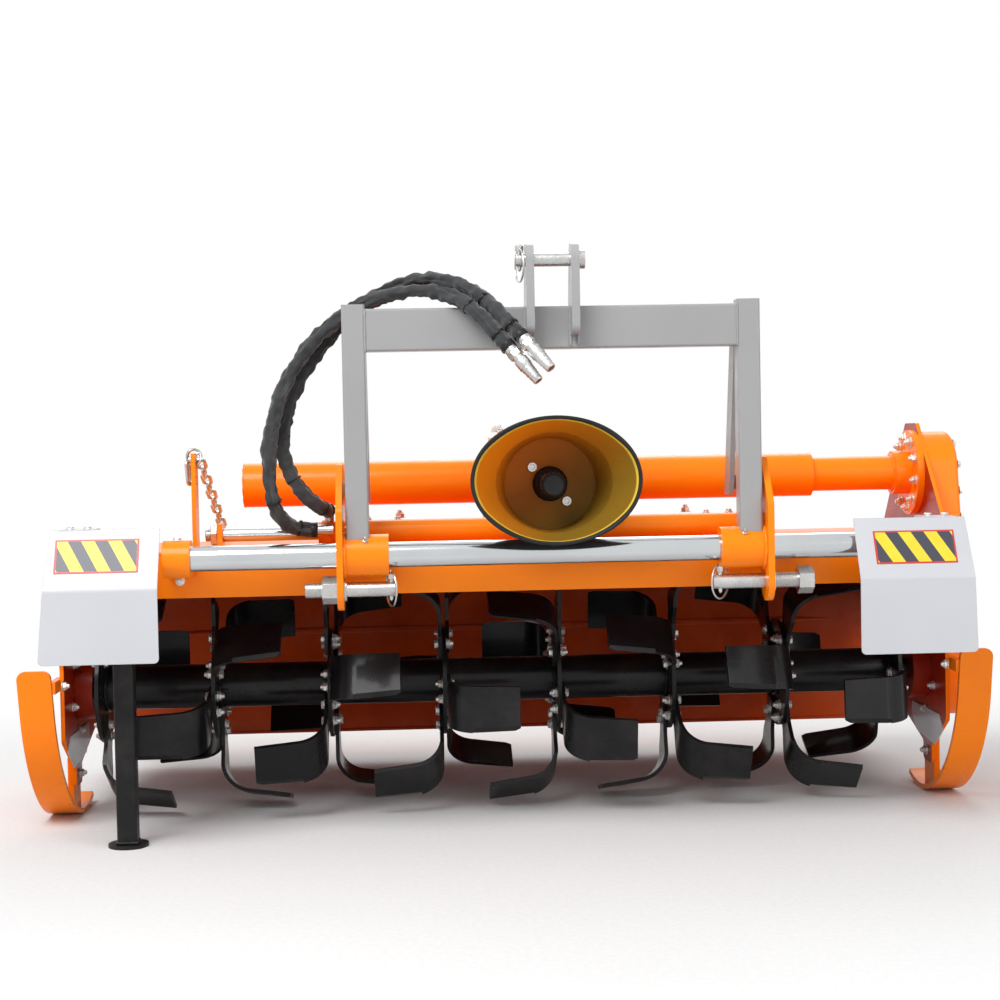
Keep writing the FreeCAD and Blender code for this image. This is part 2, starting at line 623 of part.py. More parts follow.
def bearings():
    for label, start in (
        ("rotor_bearing_left", "-plate_outer + plate_wall"),
        ("rotor_bearing_right", "plate_outer - plate_wall - bearing_width"),
    ):
        ring = round_bar(label + "_ring", "X", start, "rotor_y", "rotor_z", "bearing_radius", "bearing_width")
        bore = round_bar(label + "_bore", "X", start, "rotor_y", "rotor_z", "stub_radius + bearing_gap",
                         "bearing_width")
        keep(cut(label + "_part", ring, bore), label)
    for label, start in (
        ("bearing_shield_left", "-plate_outer + plate_wall"),
        ("bearing_shield_right", "plate_outer - plate_wall - shield_wall"),
    ):
        keep(profile(
            label + "_part", "YZ_Plane",
            [
                ("rotor_y - 120", "rotor_z - bearing_radius - 18"),
                ("rotor_y - 150", "rotor_z - bearing_radius - 46"),
                ("rotor_y - 90", "rotor_z - bearing_radius - 86"),
                ("rotor_y + 40", "rotor_z - bearing_radius - 76"),
                ("rotor_y + 78", "rotor_z - bearing_radius - 40"),
                ("rotor_y + 70", "rotor_z - bearing_radius - 18"),
            ],
            start, "shield_wall"), label)


def stand():
    half = "stand_side / 2"
    tube = block("StandTube", "stand_x - " + half, "stand_y - " + half, "foot_wall", "stand_side", "stand_side",
                 "stand_high_z - foot_wall")
    tube = softened("StandTubeRound", tube, "tube_corner", lambda at, way: abs(way.z) > 0.99)
    hollow = block("StandHollow", "stand_x - %s + stand_wall" % half, "stand_y - %s + stand_wall" % half,
                   "foot_wall + 20", "stand_side - 2 * stand_wall", "stand_side - 2 * stand_wall",
                   "stand_high_z - foot_wall")
    foot = round_bar("StandFoot", "Z", "stand_x", "stand_y", "0", "foot_radius", "foot_wall")
    keep(cut("Stand", fused("StandSolid", tube, foot), hollow), "stand_leg")
    reach = "(stand_side / 2 + bearing_gap + socket_wall)"
    sleeve = block("SocketTube", "stand_x - " + reach, "stand_y - " + reach, "socket_low_z", "2 * " + reach,
                   "2 * " + reach, "socket_high_z - socket_low_z")
    way = block("SocketWay", "stand_x - %s - bearing_gap" % half, "stand_y - %s - bearing_gap" % half,
                "socket_low_z", "stand_side + 2 * bearing_gap", "stand_side + 2 * bearing_gap",
                "socket_high_z - socket_low_z")
    keep(cut("StandSocket", sleeve, way), "stand_socket")


def hitch_plates():
    half = "hitch_span / 2"
    outline = [
        ("pin_y - pin_lobe", "pin_z"),
        ("pin_y - pin_lobe", "bar_z + 84"),
        ("post_front_y + 45", "plate_top_z"),
        ("post_front_y + 91", "plate_top_z"),
        ("deck_rear_y", "deck_top_z + 60"),
        ("deck_rear_y", "deck_top_z - deck_wall - 8"),
        ("bar_y + 44", "deck_top_z - deck_wall - 8"),
        ("pin_y + pin_lobe + 14", "pin_z + 40"),
        ("pin_y + pin_lobe", "pin_z"),
    ]
    for label, start, pin_from in (
        ("hitch_plate_left", "hitch_x - " + half, "hitch_x - " + half),
        ("hitch_plate_right", "hitch_x + %s - hitch_wall" % half, "hitch_x + %s - hitch_wall" % half),
    ):
        flat = profile(label + "_flat", "YZ_Plane", outline, start, "hitch_wall")
        flat = softened(label + "_smooth", flat, "hitch_corner",
                        lambda at, way: abs(way.x) > 0.99 and at.z > size("bar_z") + 60)
        lobe = round_bar(label + "_lobe", "X", start, "pin_y", "pin_z", "pin_lobe", "hitch_wall")
        holes = [
            round_bar(label + "_pinhole", "X", start, "pin_y", "pin_z", "pin_radius", "hitch_wall"),
            round_bar(label + "_barhole", "X", start, "bar_y", "bar_z", "bar_radius + bearing_gap", "hitch_wall"),
        ]
        if label.endswith("left"):
            holes.append(round_bar(label + "_barrelhole", "X", start, "rod_y", "rod_z", "barrel_radius",
                                   "hitch_wall"))
        keep(cut(label + "_part", fused(label + "_solid", flat, lobe), *holes), label)
    for label, start in (
        ("guide_sleeve_left", "hitch_x - %s + hitch_wall" % half),
        ("guide_sleeve_right", "hitch_x + %s - hitch_wall - sleeve_length" % half),
    ):
        tube = round_bar(label + "_tube", "X", start, "bar_y", "bar_z", "sleeve_radius", "sleeve_length")
        bore = round_bar(label + "_bore", "X", start, "bar_y", "bar_z", "bar_radius + bearing_gap",
                         "sleeve_length")
        keep(cut(label + "_part", tube, bore), label)


def lower_pins():
    """Each pin: smooth part inwards, collar on the plate, thread and nut outside."""
    for label, side, face, stud, nut_from in (
        ("lower_pin_left", -1, "hitch_x - hitch_span / 2", "stud_left", "nut_height"),
        ("lower_pin_right", 1, "hitch_x + hitch_span / 2", "stud_right", "stud_right - nut_height"),
    ):
        if side < 0:
            start = "%s - %s" % (face, stud)
            nut_x = "%s - %s" % (face, nut_from)
            collar_x = face + " + hitch_wall"
        else:
            start = face + " - hitch_wall - pin_reach"
            nut_x = "%s + %s" % (face, nut_from)
            collar_x = face
        bar = round_bar(label + "_bar", "X", start, "pin_y", "pin_z", "pin_radius",
                        "hitch_wall + pin_reach + " + stud)
        collar = round_bar(label + "_collar", "X", collar_x, "pin_y", "pin_z", "pin_radius + 8", "pin_collar")
        nut = doc.addObject("Part::Prism", label + "_nut")
        nut.Polygon = 6
        bind(nut, "Circumradius", "pin_radius * 1.86")
        bind(nut, "Height", "nut_height")
        place(nut, nut_x, "pin_y", "pin_z", FreeCAD.Vector(0, 1, 0), 90)
        keep(fused(label + "_part", bar, collar, nut), label)


def mast():
    left = "hitch_x - hitch_span / 2 + post_inset"
    right = "hitch_x + hitch_span / 2 - post_inset - post_width"
    for label, start in (("mast_post_left", left), ("mast_post_right", right)):
        tube = block(label + "_tube", start, "post_front_y", "bar_z + sleeve_radius - 12", "post_width",
                     "post_depth", "post_high_z - bar_z - sleeve_radius + 12")
        tube = softened(label + "_round", tube, "tube_corner", lambda at, way: abs(way.z) > 0.99)
        saddle = round_bar(label + "_saddle", "X", start + " - 1", "bar_y", "bar_z", "sleeve_radius",
                           "post_width + 2")
        keep(cut(label + "_part", tube, saddle), label)
    beam = block("MastBeam", left + " + post_width", "post_front_y + 1", "beam_low_z",
                 "hitch_span - 2 * post_inset - 2 * post_width", "beam_depth", "beam_high_z - beam_low_z")
    keep(softened("MastBeamRound", beam, "tube_corner", lambda at, way: abs(way.x) > 0.99), "mast_beam")
    back = "post_front_y + post_depth"
    lean = "(%s - brace_low_y) / (brace_meet_z - brace_low_z)" % back
    inner = "hitch_span / 2 - hitch_wall"
    for label, start, boss in (
        ("mast_brace_left", left + " + post_width - brace_wall", "hitch_x - (%s)" % inner),
        ("mast_brace_right", right, right + " + brace_wall"),
    ):
        flat = profile(
            label + "_flat", "YZ_Plane",
            [
                (back, "brace_high_z"),
                ("brace_low_y + brace_width + (%s) * (brace_high_z - brace_low_z)" % lean, "brace_high_z"),
                ("brace_low_y + brace_width", "brace_low_z"),
                ("brace_low_y", "brace_low_z"),
                (back, "brace_meet_z"),
            ],
            start, "brace_wall")
        spacer = round_bar(label + "_boss", "X", boss, "brace_low_y + brace_width / 2", "brace_low_z + 24",
                           "brace_boss", "post_inset + post_width - brace_wall - hitch_wall")
        keep(fused(label + "_part", flat, spacer), label)


def top_clevis():
    """Two plates hooked over the mast beam, one solid each, with the pin through them."""
    gap = "clevis_gap / 2"
    cheeks = []
    for side, start in (("L", "hitch_x - %s - clevis_wall" % gap), ("R", "hitch_x + " + gap)):
        flat = profile(
            "Cheek" + side, "YZ_Plane",
            [
                ("top_pin_y - clevis_radius", "beam_low_z + 24"),
                ("top_pin_y - clevis_radius", "top_pin_z"),
                ("top_pin_y + clevis_radius", "top_pin_z"),
                ("top_pin_y + clevis_radius + 26", "beam_high_z"),
                ("post_front_y + 1", "beam_high_z"),
                ("post_front_y + 1", "beam_low_z + 24"),
            ],
            start, "clevis_wall")
        flat = softened("CheekSmooth" + side, flat, "clevis_corner",
                        lambda at, way: abs(way.x) > 0.99 and at.z < size("beam_low_z") + 25
                        and at.y < size("top_pin_y"))
        head = round_bar("CheekRound" + side, "X", start, "top_pin_y", "top_pin_z", "clevis_radius",
                         "clevis_wall")
        hole = round_bar("CheekHole" + side, "X", start, "top_pin_y", "top_pin_z", "top_pin_radius",
                         "clevis_wall")
        cheeks.append(cut("CheekCut" + side, fused("CheekSolid" + side, flat, head), hole))
    keep(fused("TopClevis", *cheeks), "top_clevis")
    pin = round_bar("TopPinBar", "X", "hitch_x - %s - clevis_wall - 17" % gap, "top_pin_y", "top_pin_z",
                    "top_pin_radius", "clevis_gap + 2 * clevis_wall + 17")
    head = round_bar("TopPinHead", "X", "hitch_x + %s + clevis_wall" % gap, "top_pin_y", "top_pin_z",
                     "top_pin_radius + 5", "12")
    keep(fused("TopPin", pin, head), "top_link_pin")


def deck():
    left = "hitch_x - hitch_span / 2 + hitch_wall"
    right = "hitch_x + hitch_span / 2 - hitch_wall"
    plate = profile(
        "DeckPlate", "XY_Plane",
        [
            (left, "deck_front_y"),
            (right, "deck_front_y"),
            (right, "deck_rear_y"),
            ("hitch_x + gearbox_half + 90", "deck_rear_y"),
            ("hitch_x + gearbox_half + 14", "gearbox_front_y"),
            ("hitch_x + gearbox_half + 14", "gearbox_rear_y"),
            ("hitch_x - gearbox_half - 14", "gearbox_rear_y"),
            ("hitch_x - gearbox_half - 14", "gearbox_front_y"),
            ("hitch_x - gearbox_half - 90", "deck_rear_y"),
            (left, "deck_rear_y"),
        ],
        "deck_top_z - deck_wall", "deck_wall")
    keep(plate, "gearbox_deck")


def shift_barrel():
    right = "hitch_x + hitch_span / 2 - hitch_wall"
    tube = round_bar("BarrelTube", "X", "barrel_left", "rod_y", "rod_z", "barrel_radius", right + " - barrel_left")
    bore = round_bar("BarrelBore", "X", "barrel_left + 26", "rod_y", "rod_z", "barrel_bore",
                     right + " - barrel_left - 26 - barrel_base")
    gland = round_bar("BarrelGland", "X", "barrel_left", "rod_y", "rod_z", "rod_radius + bearing_gap", "27")
    keep(cut("Barrel", tube, bore, gland), "cylinder_barrel")


def gearbox():
    half = "gearbox_half"
    body = block("GearboxBody", "hitch_x - " + half, "gearbox_front_y", "deck_top_z", "2 * " + half,
                 "gearbox_rear_y - gearbox_front_y", "gearbox_high_z - deck_top_z")
    body = softened("GearboxRound", body, "gearbox_corner", lambda at, way: abs(way.z) > 0.99)
    lid = block("GearboxLid", "hitch_x - %s * 0.8" % half, "gearbox_front_y + 24", "gearbox_high_z", "1.6 * " + half,
                "gearbox_rear_y - gearbox_front_y - 48", "gearbox_lid")
    rear = round_bar("GearboxRear", "Y", "hitch_x", "gearbox_rear_y", "drive_z", "neck_flange_radius", "gearbox_lid")
    flange = round_bar("NeckFlange", "Y", "hitch_x", "gearbox_front_y - gearbox_lid", "drive_z",
                       "neck_flange_radius", "gearbox_lid")
    bosses = [
        round_bar("TubeBossLeft", "X", "hitch_x - %s - gearbox_lid" % half, "drive_y", "drive_z",
                  "outer_tube_radius + 20", "gearbox_lid"),
        round_bar("TubeBossRight", "X", "hitch_x + " + half, "drive_y", "drive_z", "outer_tube_radius + 20",
                  "gearbox_lid"),
    ]
    seats = [
        round_bar("TubeSeatLeft", "X", "hitch_x - %s - gearbox_lid" % half, "drive_y", "drive_z",
                  "outer_tube_radius", "gearbox_lid"),
        round_bar("TubeSeatRight", "X", "hitch_x + " + half, "drive_y", "drive_z", "outer_tube_radius",
                  "gearbox_lid"),
    ]
    neck = round_bar("GearboxNeck", "Y", "hitch_x", "neck_front_y", "drive_z", "neck_radius",
                     "gearbox_front_y - neck_front_y + 1")
    seal = round_bar("GearboxSeal", "Y", "hitch_x", "neck_front_y - 6", "drive_z", "seal_radius", "7")
    bore = round_bar("GearboxBore", "Y", "hitch_x", "neck_front_y - 6", "drive_z",
                     "shaft_radius - shaft_step + bearing_gap", "60")
    solid = fused("GearboxSolid", body, lid, rear, flange, neck, seal, *bosses)
    keep(cut("Gearbox", solid, bore, *seats), "gearbox")
    keep(round_bar("OuterTubeLeft", "X", "outer_tube_left", "drive_y", "drive_z", "outer_tube_radius",
                   "hitch_x - %s - outer_tube_left" % half), "drive_tube_left")
    start = "hitch_x + " + half
    tube = round_bar("OuterTubeRightBar", "X", start, "drive_y", "drive_z", "outer_tube_radius",
                     "outer_tube_right - hitch_x - " + half)
    bore = round_bar("OuterTubeBore", "X", start + " + 20", "drive_y", "drive_z",
                     "inner_tube_radius + bearing_gap", "outer_tube_right - hitch_x - " + half)
    keep(cut("OuterTubeRight", tube, bore), "drive_tube_right")


def oval(middle_z, half_width, half_height, y):
    """Four arcs round the input shaft, wide and high as given."""
    slant = math.sqrt(0.5)
    end_radius = half_height - (half_width - half_height) * slant
    mid = FreeCAD.Vector(size("hitch_x"), y, middle_z)

    def at(x_sign, z_sign):
        corner_x = half_width - end_radius + end_radius * slant
        return mid + FreeCAD.Vector(x_sign * corner_x, 0, z_sign * end_radius * slant)

    right = mid + FreeCAD.Vector(half_width, 0, 0)
    left = mid - FreeCAD.Vector(half_width, 0, 0)
    high = mid + FreeCAD.Vector(0, 0, half_height)
    low = mid - FreeCAD.Vector(0, 0, half_height)
    return Part.Wire([
        Part.Arc(at(1, -1), right, at(1, 1)).toShape(),
        Part.Arc(at(1, 1), high, at(-1, 1)).toShape(),
        Part.Arc(at(-1, 1), left, at(-1, -1)).toShape(),
        Part.Arc(at(-1, -1), low, at(1, -1)).toShape(),
    ])


def shaft_guard():
    """Flared oval cone bolted round the input neck."""
    wall = size("cone_wall")
    back_y = size("neck_front_y")
    stations = [
        # Y, middle Z, half width, half height
        (size("cone_front_y"), size("cone_rim_z"), size("cone_rim_half"), size("cone_rim_up")),
        (size("cone_waist_y"), (size("cone_rim_z") + size("drive_z")) / 2, size("cone_waist_half"),
         size("cone_waist_up")),
        (back_y, size("drive_z"), size("cone_base_half"), size("cone_base_half")),
    ]

    def shell(shrink):
        wires = [oval(z, wide - shrink, high - shrink, y) for y, z, wide, high in stations]
        return Part.makeLoft(wires, True, True)

    outer = shell(0)
    inner = shell(wall)
    keep_back = Part.makeBox(2 * size("cone_rim_half"), wall, 2 * size("cone_rim_half"),
                             FreeCAD.Vector(size("hitch_x") - size("cone_rim_half"), back_y - wall,
                                            size("drive_z") - size("cone_rim_half")))
    hole = Part.makeCylinder(size("seal_radius"), wall + 2, FreeCAD.Vector(size("hitch_x"), back_y - wall - 1, size("drive_z")),
                             FreeCAD.Vector(0, 1, 0))
    thing = doc.addObject("Part::Feature", "ShaftGuard")
    thing.Shape = outer.cut(inner.cut(keep_back)).cut(hole)
    keep(thing, "shaft_guard")


def input_shaft():
    free = round_bar("ShaftFree", "Y", "hitch_x", "shaft_front_y", "drive_z", "shaft_radius",
                     "shaft_free_y - shaft_front_y")
    journal = round_bar("ShaftJournal", "Y", "hitch_x", "shaft_free_y", "drive_z", "shaft_radius - shaft_step",
                        "neck_front_y + 52 - shaft_free_y")
    keep(fused("InputShaft", free, journal), "input_shaft")


def blade(side):
    """Bent blade in the frame of its flange: X along the rotor, -Y ahead, Z outwards from the axis."""
    wall = size("blade_wall")
    reach = size("blade_reach")
    root = size("blade_root")
    span = size("blade_span")
    bend = size("blade_bend")
    half_width = size("blade_width") / 2
    opening = math.radians(size("blade_open"))
    tilt = math.radians(size("blade_tilt"))
    outer = bend + wall
    x = size("flange_wall") / 2
    flat_from = outer * (1 - math.sin(opening))
    bend_z = reach - outer * math.cos(opening) - (span - flat_from) * math.tan(opening)
    first_y = 2 * half_width

    def point(across, out):
        return FreeCAD.Vector(x + across, first_y, out - first_y * math.tan(tilt))

    def on(radius, angle):
        return point(outer - radius * math.sin(angle), bend_z + radius * math.cos(angle))

    halfway = (math.pi / 2 + opening) / 2
    inner_end = point(span + wall * math.sin(opening), reach - wall * math.cos(opening))
    edges = [
        Part.LineSegment(point(0, root), on(outer, math.pi / 2)).toShape(),
        Part.Arc(on(outer, math.pi / 2), on(outer, halfway), on(outer, opening)).toShape(),
        Part.LineSegment(on(outer, opening), point(span, reach)).toShape(),
        Part.LineSegment(point(span, reach), inner_end).toShape(),
        Part.LineSegment(inner_end, on(bend, opening)).toShape(),
        Part.Arc(on(bend, opening), on(bend, halfway), on(bend, math.pi / 2)).toShape(),
        Part.LineSegment(on(bend, math.pi / 2), point(wall, root)).toShape(),
        Part.LineSegment(point(wall, root), point(0, root)).toShape(),
    ]
    # drawn askew, so that the leading edge of the plate stands further out
    bent = Part.Face(Part.Wire(edges)).extrude(
        FreeCAD.Vector(0, -2 * first_y, 2 * first_y * math.tan(tilt)))
    half_shank = size("blade_shank")
    neck_z = (root + bend_z) / 2 + 10
    side_view = [
        (-half_shank, root),
        (half_shank, root),
        (half_shank, neck_z),
        (half_width, bend_z),
        (half_width, reach + half_width),
        (-half_width, reach + half_width),
        (-half_width, bend_z),
        (-half_shank, neck_z),
    ]
    corners = [FreeCAD.Vector(0, back, out) for back, out in side_view]
    face = Part.Face(Part.makePolygon(corners + corners[:1]))
    one = bent.common(face.extrude(FreeCAD.Vector(x + span + wall, 0, 0)))
    # the plate narrows to its tip, whose leading corner is cut off
    taper = half_width / 9
    tip = x + span
    trimmed = [
        (x + flat_from, -half_width),
        (tip - 2 * taper, -half_width + taper),
        (tip + wall, -half_width + 3 * taper),
        (tip + wall, -2 * half_width),
        (x + flat_from, -2 * half_width),
    ]
    corners = [FreeCAD.Vector(across, back, bend_z) for across, back in trimmed]
    face = Part.Face(Part.makePolygon(corners + corners[:1]))
    one = one.cut(face.extrude(FreeCAD.Vector(0, 0, reach)))
    # ground bevel along the leading edge of the outer face
    bevel = size("blade_bevel")
    run = FreeCAD.Vector(tip - 2 * taper - x - flat_from, taper, 0)
    run.z = run.x * math.tan(opening) - run.y * math.tan(tilt)
    first = FreeCAD.Vector(x + flat_from, -half_width, 0)
    first.z = bend_z + outer * math.cos(opening) + half_width * math.tan(tilt)
    lead = FreeCAD.Vector(0, -math.cos(tilt), math.sin(tilt))
    out = FreeCAD.Vector(0, math.sin(tilt), math.cos(tilt))
    drop = wall * 0.6
    corners = [
        first - lead * bevel + out * 0.01,
        first + lead * bevel - out * 2 * drop,
        first + lead * bevel + out * wall,
        first - lead * bevel + out * wall,
    ]
    corners = [corner - run * 0.1 for corner in corners]
    face = Part.Face(Part.makePolygon(corners + corners[:1]))
    one = one.cut(face.extrude(run * 1.5))
    if side < 0:
        one = one.mirror(FreeCAD.Vector(), FreeCAD.Vector(1, 0, 0))
    return one


def rotor():
    """Tube, stub shafts, the flanges and their blades as one welded and bolted reel."""
    flanges = round(size("flange_count"))
    pitch = size("flange_pitch")
    wall = size("flange_wall")
    axis = FreeCAD.Vector(1, 0, 0)
    last_x = (flanges - 1) / 2 * pitch
    row_x = size("flange_row_x")
    end_x = size("plate_outer") - size("plate_wall") - 0.5
    pieces = [
        Part.makeCylinder(size("rotor_tube_radius"), 2 * last_x, FreeCAD.Vector(row_x - last_x, 0, 0), axis),
        Part.makeCylinder(size("stub_radius"), 2 * end_x, FreeCAD.Vector(-end_x, 0, 0), axis),
    ]
    blades = {1: blade(1), -1: blade(-1)}
    for number in range(flanges):
        x = row_x - last_x + number * pitch
        pieces.append(Part.makeCylinder(size("flange_radius"), wall, FreeCAD.Vector(x - wall / 2, 0, 0), axis))
        right_start = size("helix_start") + size("helix_step") * number
        for side, start in ((1, right_start), (-1, right_start + size("left_helix"))):
            if (number == 0 and side < 0) or (number == flanges - 1 and side > 0):
                continue
            for third in range(3):
                copy = blades[side].copy()
                # angle 0 points to the front, 90 straight down
                copy.rotate(FreeCAD.Vector(), axis, 90 + start + 120 * third)
                copy.translate(FreeCAD.Vector(x, 0, 0))
                pieces.append(copy)
    reel = doc.addObject("Part::Feature", "Rotor")
    reel.Shape = pieces[0].multiFuse(pieces[1:])
    keep(place(reel, "0", "rotor_y", "rotor_z"), "rotor")


def tailboard():
    hinge_y = "(rear_y + hinge_drop)"
    hinge_z = "(rear_z - hinge_drop)"
    keep(round_bar("HingeRod", "X", "-plate_outer + plate_wall", hinge_y, hinge_z, "hinge_radius",
                   "2 * (plate_outer - plate_wall)"), "tailboard_hinge_rod")
    flat = profile(
        "BoardSheet", "YZ_Plane",
        [
            (hinge_y + " + 2", hinge_z),
            ("board_low_y", "board_low_z"),
            ("board_low_y - board_wall * 1.1", "board_low_z"),
            (hinge_y + " + 2 - board_wall * 1.1", hinge_z),
        ],
        "-board_half", "2 * board_half")
    knuckle = round_bar("BoardKnuckle", "X", "-board_half", hinge_y, hinge_z, "knuckle_radius", "2 * board_half")
    lug = profile(
        "BoardLug", "YZ_Plane",
        [
            (hinge_y + " + 8", hinge_z + " - 12"),
            (hinge_y + " + chain_lug - 6", hinge_z + " + 18"),
            (hinge_y + " + chain_lug + 8", hinge_z + " + 4"),
            (hinge_y + " + chain_lug + 2", hinge_z + " - 14"),
            (hinge_y + " + 30", hinge_z + " - 72"),
        ],
        "chain_x - 4", "8")
    bore = round_bar("BoardBore", "X", "-board_half", hinge_y, hinge_z, "hinge_radius + bearing_gap",
                     "2 * board_half")
    keep(cut("Board", fused("BoardSolid", flat, knuckle, lug), bore), "tailboard")
    start = FreeCAD.Vector(size("chain_x"), size("chain_post_y"), size("chain_post_high_z") - 12)
    start.x += size("chain_post_wall") / 2 + size("chain_radius")
    end = FreeCAD.Vector(start.x, size("rear_y") + size("hinge_drop") + size("chain_lug"),
                         size("rear_z") - size("hinge_drop") + 8)
    bar = doc.addObject("Part::Feature", "Chain")
    bar.Shape = Part.makeCylinder(size("chain_radius"), (end - start).Length, start, end - start)
    keep(bar, "chain")


def cord_tube(points, diameter, name):
    """Straight runs joined by tangent arcs, each as large as its two runs allow."""
    route = [FreeCAD.Vector(*point) for point in points]
    edges = []
    here = route[0]
    radii = []
    for before, corner, after in zip(route, route[1:], route[2:]):
        into = corner - before
        out = after - corner
        turn = into.getAngle(out)
        reach = 0.45 * min(into.Length, out.Length)
        radius = reach / math.tan(turn / 2)
        radii.append(round(radius))
        into.normalize()
        out.normalize()
        first = corner - into * reach
        last = corner + out * reach
        inward = (out - into).normalize()
        middle = corner + inward * (radius / math.cos(turn / 2) - radius)
        edges.append(Part.LineSegment(here, first).toShape())
        edges.append(Part.Arc(first, middle, last).toShape())
        here = last
    edges.append(Part.LineSegment(here, route[-1]).toShape())
    spine = Part.Wire(edges)
    section = Part.Wire(Part.Circle(route[0], route[1] - route[0], diameter / 2).toShape())
    tube = spine.makePipeShell([section], True, False)
    expected = math.pi * diameter ** 2 / 4 * spine.Length
    print("%s: length %.0f, radii %s, volume %.4f of section times length"
          % (name, spine.Length, radii, tube.Volume / expected))
    return tube


# the routes are drawn for a barrel end, cylinder axis and beam top at these places, and move with them
hose_datum = {"barrel_left": -365, "rod_y": -285, "rod_z": 583.5, "beam_high_z": 1003}
hose_routes = {
    # from the barrel end round the left of the mast, over the beam, to the coupling
    "hose_low": [
        (-372, -334, 592), (-402, -334, 592), (-432, -352, 606), (-452, -374, 642), (-458, -385, 700),
        (-456, -385, 768), (-440, -385, 835), (-411, -385, 897), (-370, -385, 950), (-320, -385, 990),
        (-262, -390, 1022), (-200, -405, 1038), (-140, -430, 1036), (-88, -461, 1012), (-44, -488, 968),
        (-7, -508, 922),
    ],
    "hose_high": [
        (-352, -310, 628), (-352, -336, 628), (-376, -356, 642), (-412, -360, 682), (-434, -360, 735),
        (-430, -356, 795), (-411, -356, 855), (-380, -356, 910), (-338, -355, 962), (-286, -355, 1010),
        (-228, -360, 1046), (-165, -380, 1062), (-106, -412, 1054), (-56, -452, 1022), (-14, -488, 978),
        (17, -512, 940),
    ],
}


def hoses():
    """Two sleeved hoses with their couplings, and the elbows that feed the cylinder."""
    aside = size("barrel_left") - hose_datum["barrel_left"]
    back = size("rod_y") - hose_datum["rod_y"]
    drawn = hose_datum["beam_high_z"] - hose_datum["rod_z"]
    taller = (size("beam_high_z") - size("rod_z")) / drawn
    for label, route in hose_routes.items():
        points = [
            (x + aside, y + back, size("rod_z") + (z - hose_datum["rod_z"]) * taller)
            for x, y, z in route
        ]
        tube = doc.addObject("Part::Feature", label + "_tube")
        tube.Shape = cord_tube(points, size("hose_diameter"), label)
        keep(tube, label)
        end = FreeCAD.Vector(*points[-1])
        heading = end - FreeCAD.Vector(*points[-2])
        coupling = doc.addObject("Part::Feature", label + "_coupling_part")
        coupling.Shape = Part.makeCylinder(size("coupling_radius"), size("coupling_length"), end, heading)
        keep(coupling, label.replace("hose", "coupling"))
    neck_x = "barrel_left + 13"
    barrel = round_bar("FittingSeat", "X", "barrel_left", "rod_y", "rod_z", "barrel_radius", "40")
    low = fused(
        "FittingLow",
        round_bar("FittingLowStub", "Y", neck_x, "fitting_low_y", "fitting_low_z", "fitting_radius",
                  "rod_y - fitting_low_y - barrel_radius + 4"),
        round_bar("FittingLowEnd", "X", "barrel_left - 7", "fitting_low_y", "fitting_low_z", "fitting_radius + 1",
                  "30"))
    high = fused(
        "FittingHigh",
        round_bar("FittingHighStub", "Z", neck_x, "rod_y", "rod_z + barrel_radius - 0.5", "fitting_radius",
                  "fitting_high_z - rod_z - barrel_radius"),
        round_bar("FittingHighEnd", "Y", neck_x, "fitting_high_y", "fitting_high_z", "fitting_radius + 1",
                  "rod_y - fitting_high_y + 10"))
    keep(cut("FittingLowSeated", low, barrel), "fitting_low")
    keep(cut("FittingHighSeated", high, barrel), "fitting_high")


hood()
side_plates()
drive_case()
fixed_drive_tube()
guide_bar()
shift_rod()
chain_post()
skids()
guards()
bearings()
stand()
hitch_plates()
lower_pins()
mast()
top_clevis()
deck()
shift_barrel()
gearbox()
shaft_guard()
input_shaft()
rotor()
tailboard()
hoses()
doc.recompute()

for thing in doc.Objects:
    if "Invalid" in thing.State or "Error" in thing.State:
        raise RuntimeError("%s did not build" % thing.Label)
for label, thing in parts.items():
    if thing.Shape.isNull() or not thing.Shape.isValid():
        raise RuntimeError("%s has no valid shape" % label)

os.makedirs("parts", exist_ok=True)
for label, thing in parts.items():
    thing.Shape.exportStep("parts/%s.step" % label)
print("%d parts written" % len(parts))
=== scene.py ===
# Side-shift rotary tiller on its parking stand, seen from the tractor.
import math

import bmesh
import bpy
from mathutils import Matrix, Quaternion, Vector
from mathutils import noise as ripples


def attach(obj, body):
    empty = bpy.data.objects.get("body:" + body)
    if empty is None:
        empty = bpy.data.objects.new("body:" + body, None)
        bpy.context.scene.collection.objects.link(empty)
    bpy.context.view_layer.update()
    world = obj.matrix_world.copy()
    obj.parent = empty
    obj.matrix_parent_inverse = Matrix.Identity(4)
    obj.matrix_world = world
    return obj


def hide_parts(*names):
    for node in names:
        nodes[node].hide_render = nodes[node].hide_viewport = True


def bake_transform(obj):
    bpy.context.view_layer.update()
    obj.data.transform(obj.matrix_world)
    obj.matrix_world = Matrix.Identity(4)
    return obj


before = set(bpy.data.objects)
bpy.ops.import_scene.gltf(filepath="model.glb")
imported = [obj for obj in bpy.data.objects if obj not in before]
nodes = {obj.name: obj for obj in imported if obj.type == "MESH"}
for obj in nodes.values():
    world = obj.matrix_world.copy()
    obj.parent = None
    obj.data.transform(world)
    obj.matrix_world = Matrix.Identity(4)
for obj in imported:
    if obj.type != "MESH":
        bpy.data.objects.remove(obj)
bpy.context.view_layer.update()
print("frame loaded:", len(nodes), "solids")

scene = bpy.context.scene
fullTurn = 2 * math.pi


def feed(tree, socket, value):
    # links another node's socket, or sets a plain value
    if isinstance(value, bpy.types.NodeSocket):
        tree.links.new(value, socket)
    else:
        socket.default_value = value


def addNode(tree, kind, inputs=None, **settings):
    made = tree.nodes.new(kind)
    for key, value in settings.items():
        setattr(made, key, value)
    for key, value in (inputs or {}).items():
        feed(tree, made.inputs[key], value)
    return made


